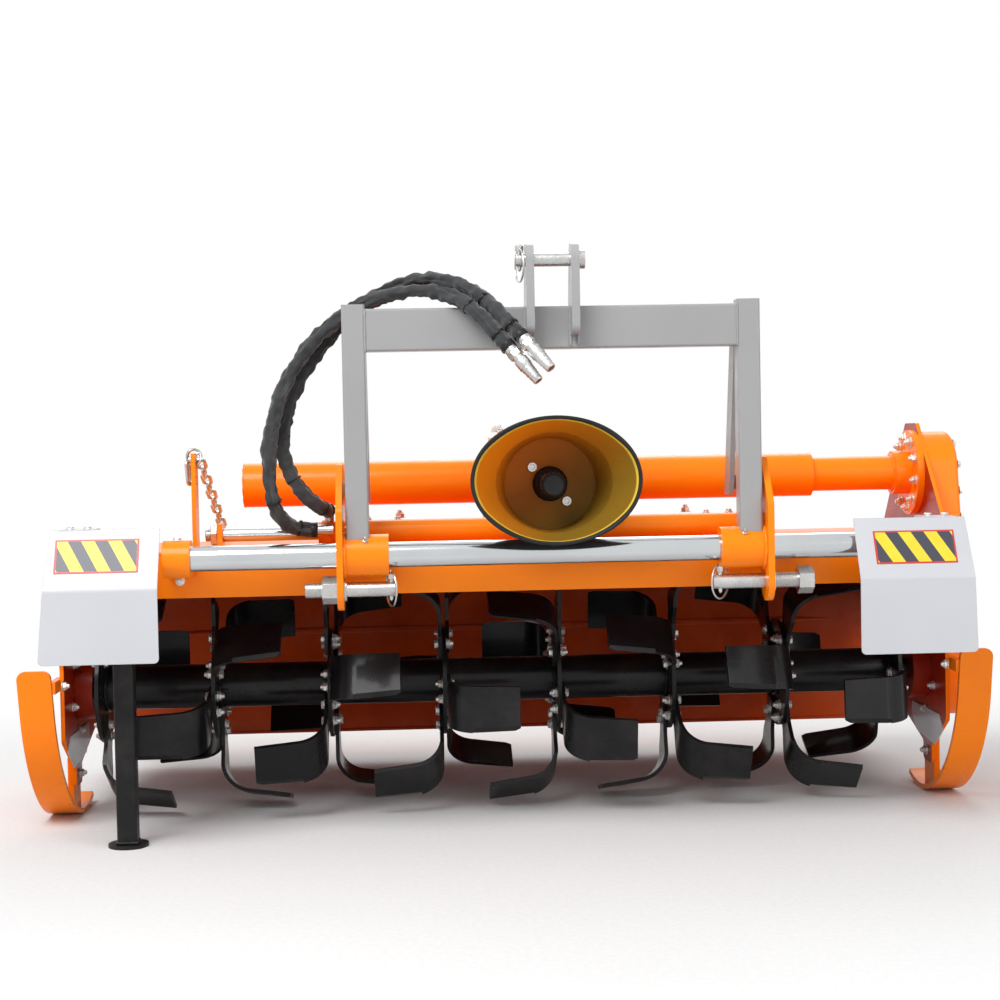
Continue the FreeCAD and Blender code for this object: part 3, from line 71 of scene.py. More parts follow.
def mixColour(tree, factor, first, second):
    # factor, first and second are sockets or plain values
    mix = addNode(tree, "ShaderNodeMix", {0: factor}, data_type="RGBA")
    for index, value in ((6, first), (7, second)):
        plain = not isinstance(value, bpy.types.NodeSocket)
        feed(tree, mix.inputs[index], (*value, 1.0) if plain else value)
    return mix.outputs[2]


def ramp(tree, value, low, high, lowOut=0.0, highOut=1.0):
    return addNode(tree, "ShaderNodeMapRange", {
        "Value": value, "From Min": low, "From Max": high, "To Min": lowOut, "To Max": highOut,
    }).outputs["Result"]


def maths(tree, operation, first, second=0.0):
    return addNode(tree, "ShaderNodeMath", {0: first, 1: second}, operation=operation).outputs[0]


def product(tree, first, second):
    return maths(tree, "MULTIPLY", first, second)


def noise(tree, place, scale, detail=3.0, rough=0.55):
    return addNode(tree, "ShaderNodeTexNoise", {
        "Vector": place, "Scale": scale, "Detail": detail, "Roughness": rough}).outputs["Fac"]


def patches(tree, place, scale, low, high, detail=3.0, rough=0.55):
    # noise cut to soft patches between two of its levels
    return ramp(tree, noise(tree, place, scale, detail, rough), low, high)


def stretched(tree, place, scale):
    return addNode(tree, "ShaderNodeMapping", {"Vector": place, "Scale": scale}).outputs["Vector"]


def normals(tree):
    return addNode(tree, "ShaderNodeTexCoord").outputs["Normal"]


def startMaterial(name, rough, metal=0.0, coat=0.0):
    material = bpy.data.materials.new(name)
    material.use_nodes = True
    tree = material.node_tree
    shader = tree.nodes["Principled BSDF"]
    for label, value in (("Roughness", rough), ("Metallic", metal), ("Coat Weight", coat),
                         ("Coat Roughness", 0.08), ("Specular IOR Level", 0.5 if metal else 0.18)):
        shader.inputs[label].default_value = value
    place = addNode(tree, "ShaderNodeTexCoord").outputs["Object"]
    return material, tree, shader, place


def finishMaterial(tree, shader, colour, normal, rough=None):
    for label, socket in (("Base Color", colour), ("Normal", normal), ("Roughness", rough)):
        if socket is not None:
            tree.links.new(socket, shader.inputs[label])


def roundNormal(tree, radius):
    return addNode(tree, "ShaderNodeBevel", {"Radius": radius}, samples=4).outputs["Normal"]


def edgeMask(tree, rounded):
    # 1 where the rounded normal leaves the flat one
    flat = addNode(tree, "ShaderNodeNewGeometry").outputs["Normal"]
    agree = addNode(tree, "ShaderNodeVectorMath", {0: rounded, 1: flat}, operation="DOT_PRODUCT")
    return ramp(tree, agree.outputs["Value"], 0.995, 0.90)


def bump(tree, height, distance, strength, normal=None):
    inputs = {"Height": height, "Distance": distance, "Strength": strength}
    if normal is not None:
        inputs["Normal"] = normal
    return addNode(tree, "ShaderNodeBump", inputs).outputs["Normal"]


paintLook = {"driftScale": 2.2, "insidePatchScale": 6.0, "edgeRadius": 0.0014, "chipScale": 60.0,
             "dustScale": 7.0, "dustColour": (0.42, 0.36, 0.3), "smearScale": 9.0,
             "smearStretch": (1.0, 1.0, 2.5), "peelScale": 420.0, "peelDepth": 0.00012}


def paint(name, colour, shade, edgeColour, rough, coat, edgeWear=0.5, dust=0.0, inside=None):
    # sprayed paint: slow colour drift, orange peel, thin paint on the edges, a little dust
    look = paintLook
    material, tree, shader, place = startMaterial(name, rough, coat=coat)
    base = mixColour(tree, patches(tree, place, look["driftScale"], 0.35, 0.7), colour, shade)
    if inside:
        # faces that look at the rotor's axis get painted shade: a dark red in random darker patches
        out = addNode(tree, "ShaderNodeVectorMath", {0: place, 1: inside["from"]},
                      operation="SUBTRACT").outputs["Vector"]
        away = addNode(tree, "ShaderNodeVectorMath", {0: out, 1: normals(tree)},
                       operation="DOT_PRODUCT").outputs["Value"]
        insidePatches = patches(tree, place, look["insidePatchScale"], 0.40, 0.66, 6.0, 0.65)
        paintedInsideShade = mixColour(tree, insidePatches, inside["colour"], inside["insidePatch"])
        base = mixColour(tree, ramp(tree, away, 0.0, -0.03), base, paintedInsideShade)
    rounded = roundNormal(tree, look["edgeRadius"])
    chips = patches(tree, place, look["chipScale"], 0.45, 0.62, 4.0, 0.7)
    worn = product(tree, product(tree, edgeMask(tree, rounded), chips), edgeWear)
    base = mixColour(tree, worn, base, edgeColour)
    if dust:
        spots = patches(tree, place, look["dustScale"], 0.47, 0.72, 6.0, 0.68)
        base = mixColour(tree, product(tree, spots, dust), base, look["dustColour"])
    smear = noise(tree, stretched(tree, place, look["smearStretch"]), look["smearScale"], 5.0, 0.6)
    skin = noise(tree, place, look["peelScale"], 2.0)
    finishMaterial(tree, shader, base, bump(tree, skin, look["peelDepth"], 0.5, rounded),
                   ramp(tree, smear, 0.3, 0.75, rough * 0.8, rough * 1.35))
    return material


smallEdge = 0.0009


def bareMetal(name, colour, shade, rough, grain=(1.0, 1.0, 1.0), grainScale=220.0, depth=0.00001,
              mottle=14.0, strength=0.15, metal=1.0):
    # plated or turned steel: mottled plating, fine grain along the turning
    material, tree, shader, place = startMaterial(name, rough, metal=metal)
    base = mixColour(tree, patches(tree, place, mottle, 0.38, 0.66, 5.0, 0.65), colour, shade)
    lines = noise(tree, stretched(tree, place, grain), grainScale, 3.0, 0.6)
    finishMaterial(tree, shader, base,
                   bump(tree, lines, depth, strength, roundNormal(tree, smallEdge)),
                   ramp(tree, lines, 0.3, 0.7, rough * 0.8, rough * 1.25))
    return material


rubberLook = {"cloudScale": 18.0, "grainScale": 260.0, "grainDepth": 0.00015}


def rubber(name, colour, shade, rough):
    material, tree, shader, place = startMaterial(name, rough)
    cloud = patches(tree, place, rubberLook["cloudScale"], 0.35, 0.7, 5.0, 0.6)
    grain = noise(tree, place, rubberLook["grainScale"])
    finishMaterial(tree, shader, mixColour(tree, cloud, colour, shade), bump(
        tree, grain, rubberLook["grainDepth"], 0.5, roundNormal(tree, smallEdge)))
    return material


def turned(profile, sides=24, spin=0.0):
    # (verts, faces) of a profile of (radius, height) turned about Z; radius 0 closes an end
    verts, faces, rings = [], [], []
    for radius, height in profile:
        if radius <= 1e-7:
            rings.append([len(verts)])
            verts.append(Vector((0.0, 0.0, height)))
            continue
        rings.append(list(range(len(verts), len(verts) + sides)))
        for step in range(sides):
            angle = spin + fullTurn * step / sides
            verts.append(Vector((radius * math.cos(angle), radius * math.sin(angle), height)))
    for low, high in zip(rings, rings[1:]):
        for step in range(sides):
            after = (step + 1) % sides
            if len(low) == 1 and len(high) > 1:
                faces.append((low[0], high[after], high[step]))
            elif len(high) == 1 and len(low) > 1:
                faces.append((low[step], low[after], high[0]))
            elif len(low) > 1:
                faces.append((low[step], low[after], high[after], high[step]))
    return verts, faces


def swept(path, radius, sides=10, closed=False, wobble=None):
    # round tube along points; radius is one number or a list, and wobble(ring, side) changes it
    path = [Vector(point) for point in path]
    count = len(path)
    verts, faces = [], []
    across = None
    for ring, point in enumerate(path):
        before = path[ring - 1] if closed or ring else point
        after = path[(ring + 1) % count] if closed or ring < count - 1 else point
        ahead = (after - before).normalized()
        if across is None:
            across = ahead.orthogonal().normalized()
        across = (across - ahead * across.dot(ahead)).normalized()
        up = ahead.cross(across)
        width = radius[ring] if isinstance(radius, list) else radius
        for side in range(sides):
            angle = fullTurn * side / sides
            reach = width + (wobble(ring, side) if wobble else 0.0)
            verts.append(point + across * (reach * math.cos(angle))
                         + up * (reach * math.sin(angle)))
    for ring in range(count if closed else count - 1):
        low, high = ring * sides, (ring + 1) % count * sides
        for side in range(sides):
            after = (side + 1) % sides
            faces.append((low + side, low + after, high + after, high + side))
    if not closed:
        faces.append(tuple(reversed(range(sides))))
        faces.append(tuple(range((count - 1) * sides, count * sides)))
    return verts, faces


def softBox(low, high, bevel):
    # box between two corners with chamfered edges
    shape = bmesh.new()
    bmesh.ops.create_cube(shape, size=1.0)
    low, high = Vector(low), Vector(high)
    for vert in shape.verts:
        vert.co = Vector([(low[axis] + high[axis]) / 2 + vert.co[axis] * (high[axis] - low[axis])
                          for axis in range(3)])
    bmesh.ops.bevel(shape, geom=shape.edges[:], offset=bevel, segments=2, affect="EDGES",
                    profile=0.6)
    shape.verts.index_update()
    verts = [vert.co.copy() for vert in shape.verts]
    faces = [tuple(vert.index for vert in face.verts) for face in shape.faces]
    shape.free()
    return verts, faces


def aim(point, direction, spin=0.0):
    # matrix that carries +Z at the origin to a direction at a point
    turn = Vector(direction).to_track_quat("Z", "Y").to_matrix().to_4x4()
    return Matrix.Translation(Vector(point)) @ turn @ Matrix.Rotation(spin, 4, "Z")


def moved(shape, matrix):
    verts, faces = shape
    return [matrix @ vert for vert in verts], faces


def lathe(profile, sides, point, direction=(1, 0, 0)):
    # turned shape that stands at a point
    return moved(turned(profile, sides), aim(point, direction))


def makeMesh(name, shapes, material, crease=32):
    verts, faces = [], []
    for shapeVerts, shapeFaces in shapes:
        base = len(verts)
        verts += shapeVerts
        faces += [tuple(base + index for index in face) for face in shapeFaces]
    mesh = bpy.data.meshes.new(name)
    mesh.from_pydata([tuple(vert) for vert in verts], [], faces)
    mesh.polygons.foreach_set("use_smooth", [True] * len(mesh.polygons))
    mesh.set_sharp_from_angle(angle=math.radians(crease))
    if material:
        mesh.materials.append(material)
    return mesh


def layAlong(mesh, path, sides, around):
    # UV map of a swept tube in metres: across it and along it
    layer = mesh.uv_layers.new(name="along")
    walked = [0.0]
    for start, end in zip(path, path[1:]):
        walked.append(walked[-1] + (end - start).length)
    for polygon in mesh.polygons:
        places = [index % sides for index in polygon.vertices]
        seam = max(places) - min(places) > 1
        for loop in polygon.loop_indices:
            ring, side = divmod(mesh.loops[loop].vertex_index, sides)
            if seam and side == 0:
                side = sides
            layer.data[loop].uv = (around * side / sides, walked[min(ring, len(walked) - 1)])


def settle(made, body):
    if body:
        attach(made, body)
    return made


def addPiece(name, shapes, material, body="root", crease=32):
    made = bpy.data.objects.new(name, makeMesh(name, shapes, material, crease))
    scene.collection.objects.link(made)
    return settle(made, body)


def spreadTree():
    # stands one shape on every spot, turned and sized by the spots' own attributes
    tree = bpy.data.node_groups.new("shapeSpread", "GeometryNodeTree")
    names = {}
    for label, kind in (("Spots", "Geometry"), ("Shape", "Object"), ("Finish", "Material"),
                        ("Seed", "Int"), ("Twist", "Float")):
        names[label] = tree.interface.new_socket(
            name=label, in_out="INPUT", socket_type="NodeSocket" + kind).identifier
    tree.interface.new_socket(name="Geometry", in_out="OUTPUT", socket_type="NodeSocketGeometry")
    given = addNode(tree, "NodeGroupInput").outputs
    shape = addNode(tree, "GeometryNodeObjectInfo", {"Object": given["Shape"], "As Instance": True})
    turn, grow = (addNode(tree, "GeometryNodeInputNamedAttribute", {"Name": label},
                          data_type="FLOAT_VECTOR").outputs["Attribute"]
                  for label in ("turn", "grow"))
    standing = addNode(tree, "GeometryNodeInstanceOnPoints", {
        "Points": given["Spots"], "Instance": shape.outputs["Geometry"], "Rotation": turn,
        "Scale": grow})
    spin = addNode(tree, "FunctionNodeRandomValue", {
        "Min": 0.0, "Max": given["Twist"], "Seed": given["Seed"]}, data_type="FLOAT")
    about = addNode(tree, "ShaderNodeCombineXYZ", {"Z": spin.outputs[1]})
    spun = addNode(tree, "GeometryNodeRotateInstances", {
        "Instances": standing.outputs["Instances"], "Rotation": about.outputs["Vector"],
        "Local Space": True})
    real = addNode(tree, "GeometryNodeRealizeInstances", {"Geometry": spun.outputs["Instances"]})
    finished = addNode(tree, "GeometryNodeSetMaterial", {
        "Geometry": real.outputs["Geometry"], "Material": given["Finish"]})
    last = addNode(tree, "NodeGroupOutput")
    tree.links.new(finished.outputs["Geometry"], last.inputs["Geometry"])
    return tree, names


spreader, spreaderInputs = spreadTree()


def facing(direction, spin=0.0):
    return Vector(direction).to_track_quat("Z", "Y") @ Quaternion((0.0, 0.0, 1.0), spin)


def spread(name, shape, spots, material, body="root", seed=1, twist=0.0):
    # spots: (point, direction, size, and spin if not 0); twist is the most that chance adds
    host = bpy.data.objects.new(name, bpy.data.meshes.new(name + "Spots"))
    host.data.from_pydata([tuple(spot[0]) for spot in spots], [], [])
    turns = [value for spot in spots for value in facing(spot[1], *spot[3:]).to_euler()]
    grows = [spot[2] for spot in spots for axis in range(3)]
    for label, values in (("turn", turns), ("grow", grows)):
        host.data.attributes.new(label, "FLOAT_VECTOR", "POINT").data.foreach_set("vector", values)
    scene.collection.objects.link(host)
    modifier = host.modifiers.new("spread", "NODES")
    modifier.node_group = spreader
    for label, value in (("Shape", shape), ("Finish", material), ("Seed", seed), ("Twist", twist)):
        modifier[spreaderInputs[label]] = value
    bpy.context.view_layer.update()
    solid = bpy.data.meshes.new_from_object(
        host.evaluated_get(bpy.context.evaluated_depsgraph_get()))
    spotMesh = host.data
    host.modifiers.clear()
    host.data = solid
    bpy.data.meshes.remove(spotMesh)
    return settle(host, body)


boltTwist = 1.05


def spreadBolts(name, shape, spots, body, seed):
    spread(name, shape, spots, boltZinc, body, seed, boltTwist)


def repeated(name, shapes):
    # a shape to repeat; it is kept out of the scene
    return bpy.data.objects.new(name, makeMesh(name, shapes, None))


# Fasteners for a washer radius of 1, scaled where they stand
washer = turned([(0.0, 0.0), (0.95, 0.0), (1.0, 0.04), (1.0, 0.12), (0.95, 0.16), (0.0, 0.16)], 20)
boltHead = repeated("boltHead", [
    washer,
    turned([(0.0, 0.16), (0.78, 0.16), (0.8, 0.2), (0.8, 0.6), (0.66, 0.7), (0.0, 0.7)], 6),
])
lockNut = repeated("lockNut", [
    washer,
    turned([(0.0, 0.16), (0.78, 0.16), (0.8, 0.2), (0.8, 0.72), (0.7, 0.8), (0.0, 0.8)], 6),
    turned([(0.0, 0.8), (0.56, 0.8), (0.56, 0.98), (0.5, 1.02), (0.0, 1.02)], 16),
    turned([(0.0, 1.0), (0.4, 1.0), (0.4, 1.3), (0.34, 1.36), (0.0, 1.36)], 12),
])
capScrew = repeated("capScrew", [
    turned([(0.0, 0.0), (0.78, 0.0), (0.8, 0.05), (0.8, 0.72), (0.74, 0.8), (0.44, 0.8),
            (0.42, 0.4), (0.0, 0.4)], 16),
])
print("fastener shapes")

rotorAxis = (-0.025, 0.258)
orange = ((1.0, 0.24, 0.002), (0.94, 0.202, 0.002), (0.96, 0.4, 0.06), 0.3, 0.12)
orangePaint = paint("orangePaint", *orange)
# painted shade for the inside of the hood and the side plates
insideShade = {"from": (0.0, *rotorAxis), "colour": (0.36, 0.016, 0.001),
             "insidePatch": (0.27, 0.014, 0.001)}
# painted shade for the tailboard's inner face
boardInsideShade = {"from": (0.0, *rotorAxis), "colour": (0.62, 0.07, 0.002),
             "insidePatch": (0.48, 0.045, 0.002)}
sheetPaint = paint("sheetPaint", *orange, inside=insideShade)
# the rotor bearings take the inside's painted shade as their colour
insideShadePaint = paint("insideShadePaint", insideShade["colour"], insideShade["insidePatch"], (0.5, 0.09, 0.02),
                   0.4, 0.08)
boardPaint = paint("boardPaint", (0.84, 0.175, 0.003), (0.76, 0.14, 0.003), (0.9, 0.3, 0.06),
                   0.34, 0.15, dust=0.1, inside=boardInsideShade)
greyPaint = paint("greyPaint", (0.33, 0.33, 0.335), (0.3, 0.3, 0.305), (0.62, 0.62, 0.64),
                  0.34, 0.35)
guardPaint = paint("guardPaint", (0.56, 0.57, 0.6), (0.52, 0.53, 0.56), (0.7, 0.7, 0.71),
                   0.38, 0.25, edgeWear=0.3)
rotorPaint = paint("rotorPaint", (0.005, 0.005, 0.006), (0.009, 0.009, 0.01), (0.07, 0.07, 0.07),
                   0.3, 0.12, dust=0.04)
standPaint = paint("standPaint", (0.009, 0.009, 0.01), (0.014, 0.013, 0.013), (0.08, 0.08, 0.08),
                   0.42, 0.05, dust=0.05)
chromeSteel = bareMetal("chromeSteel", (0.62, 0.64, 0.65), (0.56, 0.58, 0.6), 0.13,
                        (90.0, 1.0, 1.0), 9.0, 0.00002, 3.0, 0.35)
zincSteel = bareMetal("zincSteel", (0.6, 0.6, 0.59), (0.48, 0.475, 0.465), 0.3)
# bolts: lighter and less metallic than the other zinc, a painted brightness in place of their
# highlights
boltZinc = bareMetal("boltZinc", (0.8, 0.79, 0.76), (0.66, 0.65, 0.62), 0.28, metal=0.65)
blackPlastic = rubber("blackPlastic", (0.014, 0.014, 0.015), (0.022, 0.022, 0.022), 0.38)
cloth = {"colour": (0.04, 0.042, 0.044), "shade": (0.022, 0.023, 0.024),
         "dust": (0.11, 0.11, 0.115), "warpScale": 190.0, "weftScale": 230.0, "cloudScale": 26.0,
         "foldScale": 70.0, "foldDepth": 0.0012}


def wovenSleeve(name, facts):
    # textile sleeve: a fine basket weave along the piece's own UV map, its raised threads lighter
    material, tree, shader, place = startMaterial(name, 0.82)
    shader.inputs["Sheen Weight"].default_value = 0.35
    shader.inputs["Sheen Roughness"].default_value = 0.5
    flat = addNode(tree, "ShaderNodeUVMap", uv_map="along").outputs["UV"]
    warp, weft = (addNode(tree, "ShaderNodeTexWave", {
        "Vector": flat, "Scale": scale, "Distortion": 0.4}, bands_direction=way).outputs["Fac"]
        for scale, way in ((facts["warpScale"], "X"), (facts["weftScale"], "Y")))
    weave = product(tree, warp, weft)
    cloud = patches(tree, place, facts["cloudScale"], 0.35, 0.7, 5.0, 0.6)
    base = mixColour(tree, cloud, facts["colour"], facts["shade"])
    base = mixColour(tree, product(tree, weave, 0.35), base, facts["dust"])
    folds = noise(tree, place, facts["foldScale"], 4.0, 0.6)
    height = maths(tree, "ADD", product(tree, weave, 0.25), folds)
    finishMaterial(tree, shader, base, bump(tree, height, facts["foldDepth"], 0.7))
    return material


sleeveCloth = wovenSleeve("sleeveCloth", cloth)
guardMiddle = (0.078, 0.681)
guardShell = {"rimY": -0.5, "olive": (0.215, 0.125, 0.012), "paintedLightAmber": (0.72, 0.185, 0.004),
              "rimHighlight": (0.72, 0.5, 0.06), "black": (0.012, 0.012, 0.012),
              "blackShade": (0.02, 0.02, 0.02), "floorY": (-0.44, -0.42),
              "paintedLightUp": 3.4, "paintedLightAcross": -3.0, "edgeRadius": 0.0015,
              "grainScale": 500.0, "grainDepth": 0.0001}


def shellPlastic(name, facts):
    # moulded guard: black outside and on the rim, olive inside with painted light in amber up and
    # left, and a painted highlight line inside the rim
    material, tree, shader, place = startMaterial(name, 0.42)
    x, y, z = addNode(tree, "ShaderNodeSeparateXYZ", {"Vector": place}).outputs
    normal = addNode(tree, "ShaderNodeSeparateXYZ", {"Vector": normals(tree)}).outputs
    across = maths(tree, "SUBTRACT", x, guardMiddle[0])
    above = maths(tree, "SUBTRACT", z, guardMiddle[1])
    outward = maths(tree, "ADD", product(tree, normal[0], across), product(tree, normal[2], above))
    shellFloor = product(tree, ramp(tree, normal[1], -0.8, -0.9), ramp(tree, y, *facts["floorY"]))
    inner = maths(tree, "MAXIMUM", ramp(tree, outward, 0.0, -0.004), shellFloor)
    inner = product(tree, inner, ramp(tree, y, facts["rimY"] + 0.0015, facts["rimY"] + 0.003))
    # painted light: the inside turns from olive to amber towards the top and the left
    paintedLight = maths(tree, "ADD", product(tree, above, facts["paintedLightUp"]),
                 product(tree, across, facts["paintedLightAcross"]))
    cloud = noise(tree, place, 9.0, 4.0, 0.6)
    paintedLight = ramp(tree, maths(tree, "ADD", paintedLight, product(tree, cloud, 0.25)), -0.25, 0.62)
    paintedLightAmber = mixColour(tree, paintedLight, facts["olive"], facts["paintedLightAmber"])
    # painted highlight: a light line just inside the rim
    edge = product(tree, inner, ramp(tree, y, facts["rimY"] + 0.009, facts["rimY"] + 0.006))
    paintedLightAmber = mixColour(tree, edge, paintedLightAmber, facts["rimHighlight"])
    black = mixColour(tree, ramp(tree, cloud, 0.35, 0.7), facts["black"], facts["blackShade"])
    rough = ramp(tree, noise(tree, place, 40.0, 4.0), 0.3, 0.7, 0.34, 0.52)
    grain = noise(tree, place, facts["grainScale"], 2.0)
    finishMaterial(tree, shader, mixColour(tree, inner, black, paintedLightAmber), bump(
        tree, grain, facts["grainDepth"], 0.5, roundNormal(tree, facts["edgeRadius"])), rough)
    return material


guardPlastic = shellPlastic("guardPlastic", guardShell)
blackRubber = rubber("blackRubber", (0.012, 0.012, 0.012), (0.02, 0.019, 0.018), 0.6)

for group, material in (
    ("hood_shell side_plate_left side_plate_right", sheetPaint),
    ("side_drive_case fixed_drive_tube rod_bracket chain_post bar_end_left bar_end_right skid_left "
     "skid_right guard_bracket_left guard_bracket_right stand_socket bearing_cap_left "
     "hitch_plate_left hitch_plate_right guide_sleeve_left guide_sleeve_right gearbox_deck "
     "gearbox drive_tube_left drive_tube_right cylinder_barrel", orangePaint),
    ("mast_post_left mast_post_right mast_beam mast_brace_left mast_brace_right top_clevis",
     greyPaint),
    ("guard_left guard_right bearing_shield_left bearing_shield_right", guardPaint),
    ("guide_bar cylinder_rod", chromeSteel),
    ("tailboard_hinge_rod chain lower_pin_left lower_pin_right top_link_pin coupling_low "
     "coupling_high fitting_low fitting_high input_shaft", zincSteel),
    ("rotor", rotorPaint),
    ("rotor_bearing_left rotor_bearing_right", insideShadePaint),
    ("stand_leg", standPaint),
    ("shaft_guard", guardPlastic),
    ("hose_low hose_high", blackRubber),
    ("tailboard", boardPaint),
):
    for name in group.split():
        nodes[name].data.materials.clear()
        nodes[name].data.materials.append(material)
print("finishes on the solids")

cameraFacts = {"place": (-0.174, -3.745, 0.757), "lens": 64.22, "sensor": 36.0, "yaw": 2.6,
               "pitch": 1.93, "roll": 1.1}


def aimCamera(facts):
    yaw, pitch, roll = (math.radians(facts[key]) for key in ("yaw", "pitch", "roll"))
    ahead = Vector((math.sin(yaw) * math.cos(pitch), math.cos(yaw) * math.cos(pitch),
                    -math.sin(pitch)))
    right = Vector((math.cos(yaw), -math.sin(yaw), 0.0))
    up = right.cross(ahead)
    turnedRight = math.cos(roll) * right - math.sin(roll) * up
    turnedUp = math.sin(roll) * right + math.cos(roll) * up
    matrix = Matrix((turnedRight, turnedUp, -ahead)).transposed().to_4x4()
    matrix.translation = Vector(facts["place"])
    lens = bpy.data.cameras.new("photoCamera")
    lens.sensor_width = facts["sensor"]
    lens.lens = facts["lens"]
    camera = bpy.data.objects.new("photoCamera", lens)
    camera.matrix_world = matrix
    scene.collection.objects.link(camera)
    scene.camera = camera


aimCamera(cameraFacts)


planes = {"X": (1, 2), "Y": (0, 2), "Z": (0, 1)}


def circle(middle, radius, count, axis="X", start=0.0):
    # points round an axis
    first, second = planes[axis]
    points = []
    for step in range(count):
        angle = start + fullTurn * step / count
        point = Vector(middle)
        point[first] += radius * math.cos(angle)
        point[second] += radius * math.sin(angle)
        points.append(point)
    return points


beadLook = {"ripple": (0.0, 0.22, 0.3, 0.12), "sink": 0.15, "rough": 0.25, "grain": 90.0}


def weld(points, size, closed=False, step=0.005):
    # rippled weld bead along a line
    ends = [Vector(point) for point in (points + points[:1] if closed else points)]
    path = ends[:1]
    for start, end in zip(ends, ends[1:]):
        pieces = max(1, round((end - start).length / step))
        path += [start.lerp(end, (index + 1) / pieces) for index in range(pieces)]
    if closed:
        path.pop()
    return swept(path, size, 6, closed, lambda ring, side: size * (
        beadLook["ripple"][ring % 4] - beadLook["sink"]
        + beadLook["rough"] * ripples.noise(path[ring] * beadLook["grain"])))


def addWelds(name, beads, material, body="root"):
    addPiece(name, beads, material, body, 60)


# Two sleeved hoses from the shift cylinder over the mast, with their push-in couplings
hoses = {
    "diameter": 0.027,
    "sides": 24,
    "routes": {
        "hose_low": [
            (-0.368, -0.334, 0.592), (-0.398, -0.334, 0.592), (-0.428, -0.352, 0.606),
            (-0.448, -0.374, 0.642), (-0.454, -0.385, 0.700), (-0.452, -0.385, 0.768),
            (-0.436, -0.385, 0.835), (-0.407, -0.385, 0.897), (-0.366, -0.385, 0.950),
            (-0.316, -0.385, 0.990), (-0.258, -0.390, 1.022), (-0.196, -0.405, 1.038),
            (-0.136, -0.430, 1.036), (-0.084, -0.461, 1.012), (-0.040, -0.488, 0.968),
            (-0.003, -0.508, 0.922),
        ],
        "hose_high": [
            (-0.348, -0.310, 0.628), (-0.348, -0.336, 0.628), (-0.372, -0.356, 0.642),
            (-0.408, -0.360, 0.682), (-0.430, -0.360, 0.735), (-0.426, -0.356, 0.795),
            (-0.407, -0.356, 0.855), (-0.376, -0.356, 0.910), (-0.334, -0.355, 0.962),
            (-0.282, -0.355, 1.010), (-0.224, -0.360, 1.046), (-0.161, -0.380, 1.062),
            (-0.102, -0.412, 1.054), (-0.052, -0.452, 1.022), (-0.010, -0.488, 0.978),
            (0.021, -0.512, 0.940),
        ],
    },
    "stems": {"hose_low": "hoseLower", "hose_high": "hoseUpper"},
    "lengths": {"hose_low": 0.896, "hose_high": 0.889},
    "ties": (0.035, 0.115),
    "tie": [(0.012, -0.0022), (0.0146, -0.0022), (0.0149, -0.001), (0.0149, 0.001),
            (0.0146, 0.0022), (0.012, 0.0022)],
    "tieHead": ((0.013, -0.0028, -0.0025), (0.017, 0.0028, 0.0025), 0.0008),
    "cuff": [(0.0, -0.012), (0.014, -0.012), (0.0143, -0.01), (0.0143, -0.004), (0.0128, 0.0),
             (0.0, 0.0)],
    "coupling": [(0.0, 0.0), (0.0125, 0.0), (0.0132, 0.001), (0.0132, 0.008), (0.0118, 0.009),
                 (0.0118, 0.022), (0.0108, 0.023), (0.0108, 0.028), (0.013, 0.029),
                 (0.0134, 0.03), (0.0134, 0.046), (0.013, 0.047), (0.0121, 0.0475),
                 (0.0121, 0.053), (0.0113, 0.054), (0.0113, 0.063), (0.0105, 0.064),
                 (0.0105, 0.071), (0.0097, 0.072), (0.0097, 0.08), (0.0086, 0.082),
                 (0.006, 0.082), (0.006, 0.074), (0.0, 0.074)],
    "collar": [(0.0, 0.0095), (0.014, 0.0095), (0.0142, 0.011), (0.0142, 0.02),
               (0.014, 0.0215), (0.0, 0.0215)],
    # how often round and along the sleeve each kind of fold comes, and how deep it is
    "crease": (1.5, 0.045, 0.0078), "creaseLevel": 0.42, "sink": 0.0022,
    "pucker": (1.1, 0.3, 0.0042), "fine": (3.0, 0.55, 0.0012),
}


def routePath(points, step=0.004):
    # points read from the route's own curve, then spaced evenly
    data = bpy.data.curves.new("route", "CURVE")
    data.dimensions = "3D"
    spline = data.splines.new("NURBS")
    spline.points.add(len(points) - 1)
    for target, point in zip(spline.points, points):
        target.co = (*point, 1.0)
    spline.order_u = 3
    spline.use_endpoint_u = True
    spline.resolution_u = 16
    curve = bpy.data.objects.new("route", data)
    scene.collection.objects.link(curve)
    bpy.context.view_layer.update()
    line = bpy.data.meshes.new_from_object(
        curve.evaluated_get(bpy.context.evaluated_depsgraph_get()))
    raw = [vert.co.copy() for vert in line.vertices]
    bpy.data.objects.remove(curve)
    bpy.data.meshes.remove(line)
    spans = [(end - start).length for start, end in zip(raw, raw[1:])]
    total = sum(spans)
    count = round(total / step)
    path, walked, index = [raw[0]], 0.0, 0
    for number in range(1, count):
        wanted = total * number / count
        while walked + spans[index] < wanted:
            walked += spans[index]
            index += 1
        path.append(raw[index].lerp(raw[index + 1], (wanted - walked) / spans[index]))
    path.append(raw[-1])
    return path, total


def wrinkle(salt):
    # textile sleeve: soft folds round the hose and a slow twist along it
    def reach(ring, side):
        angle = fullTurn * side / hoses["sides"]
        about = Vector((math.cos(angle), math.sin(angle), 0.0))
        (often, along, deep), (puckerOften, puckerAlong, puckerDeep), (
            fineOften, fineAlong, fineDeep) = (hoses[kind] for kind in ("crease", "pucker", "fine"))
        crease = ripples.noise(about * often + Vector((0.0, 0.0, ring * along + salt)))
        pucker = ripples.noise(about * puckerOften + Vector((salt, 0.0, ring * puckerAlong)))
        fine = ripples.noise(about * fineOften + Vector((0.0, salt, ring * fineAlong)))
        return (deep * (hoses["creaseLevel"] - abs(crease)) - hoses["sink"] + puckerDeep * pucker
                + fineDeep * fine)
    return reach


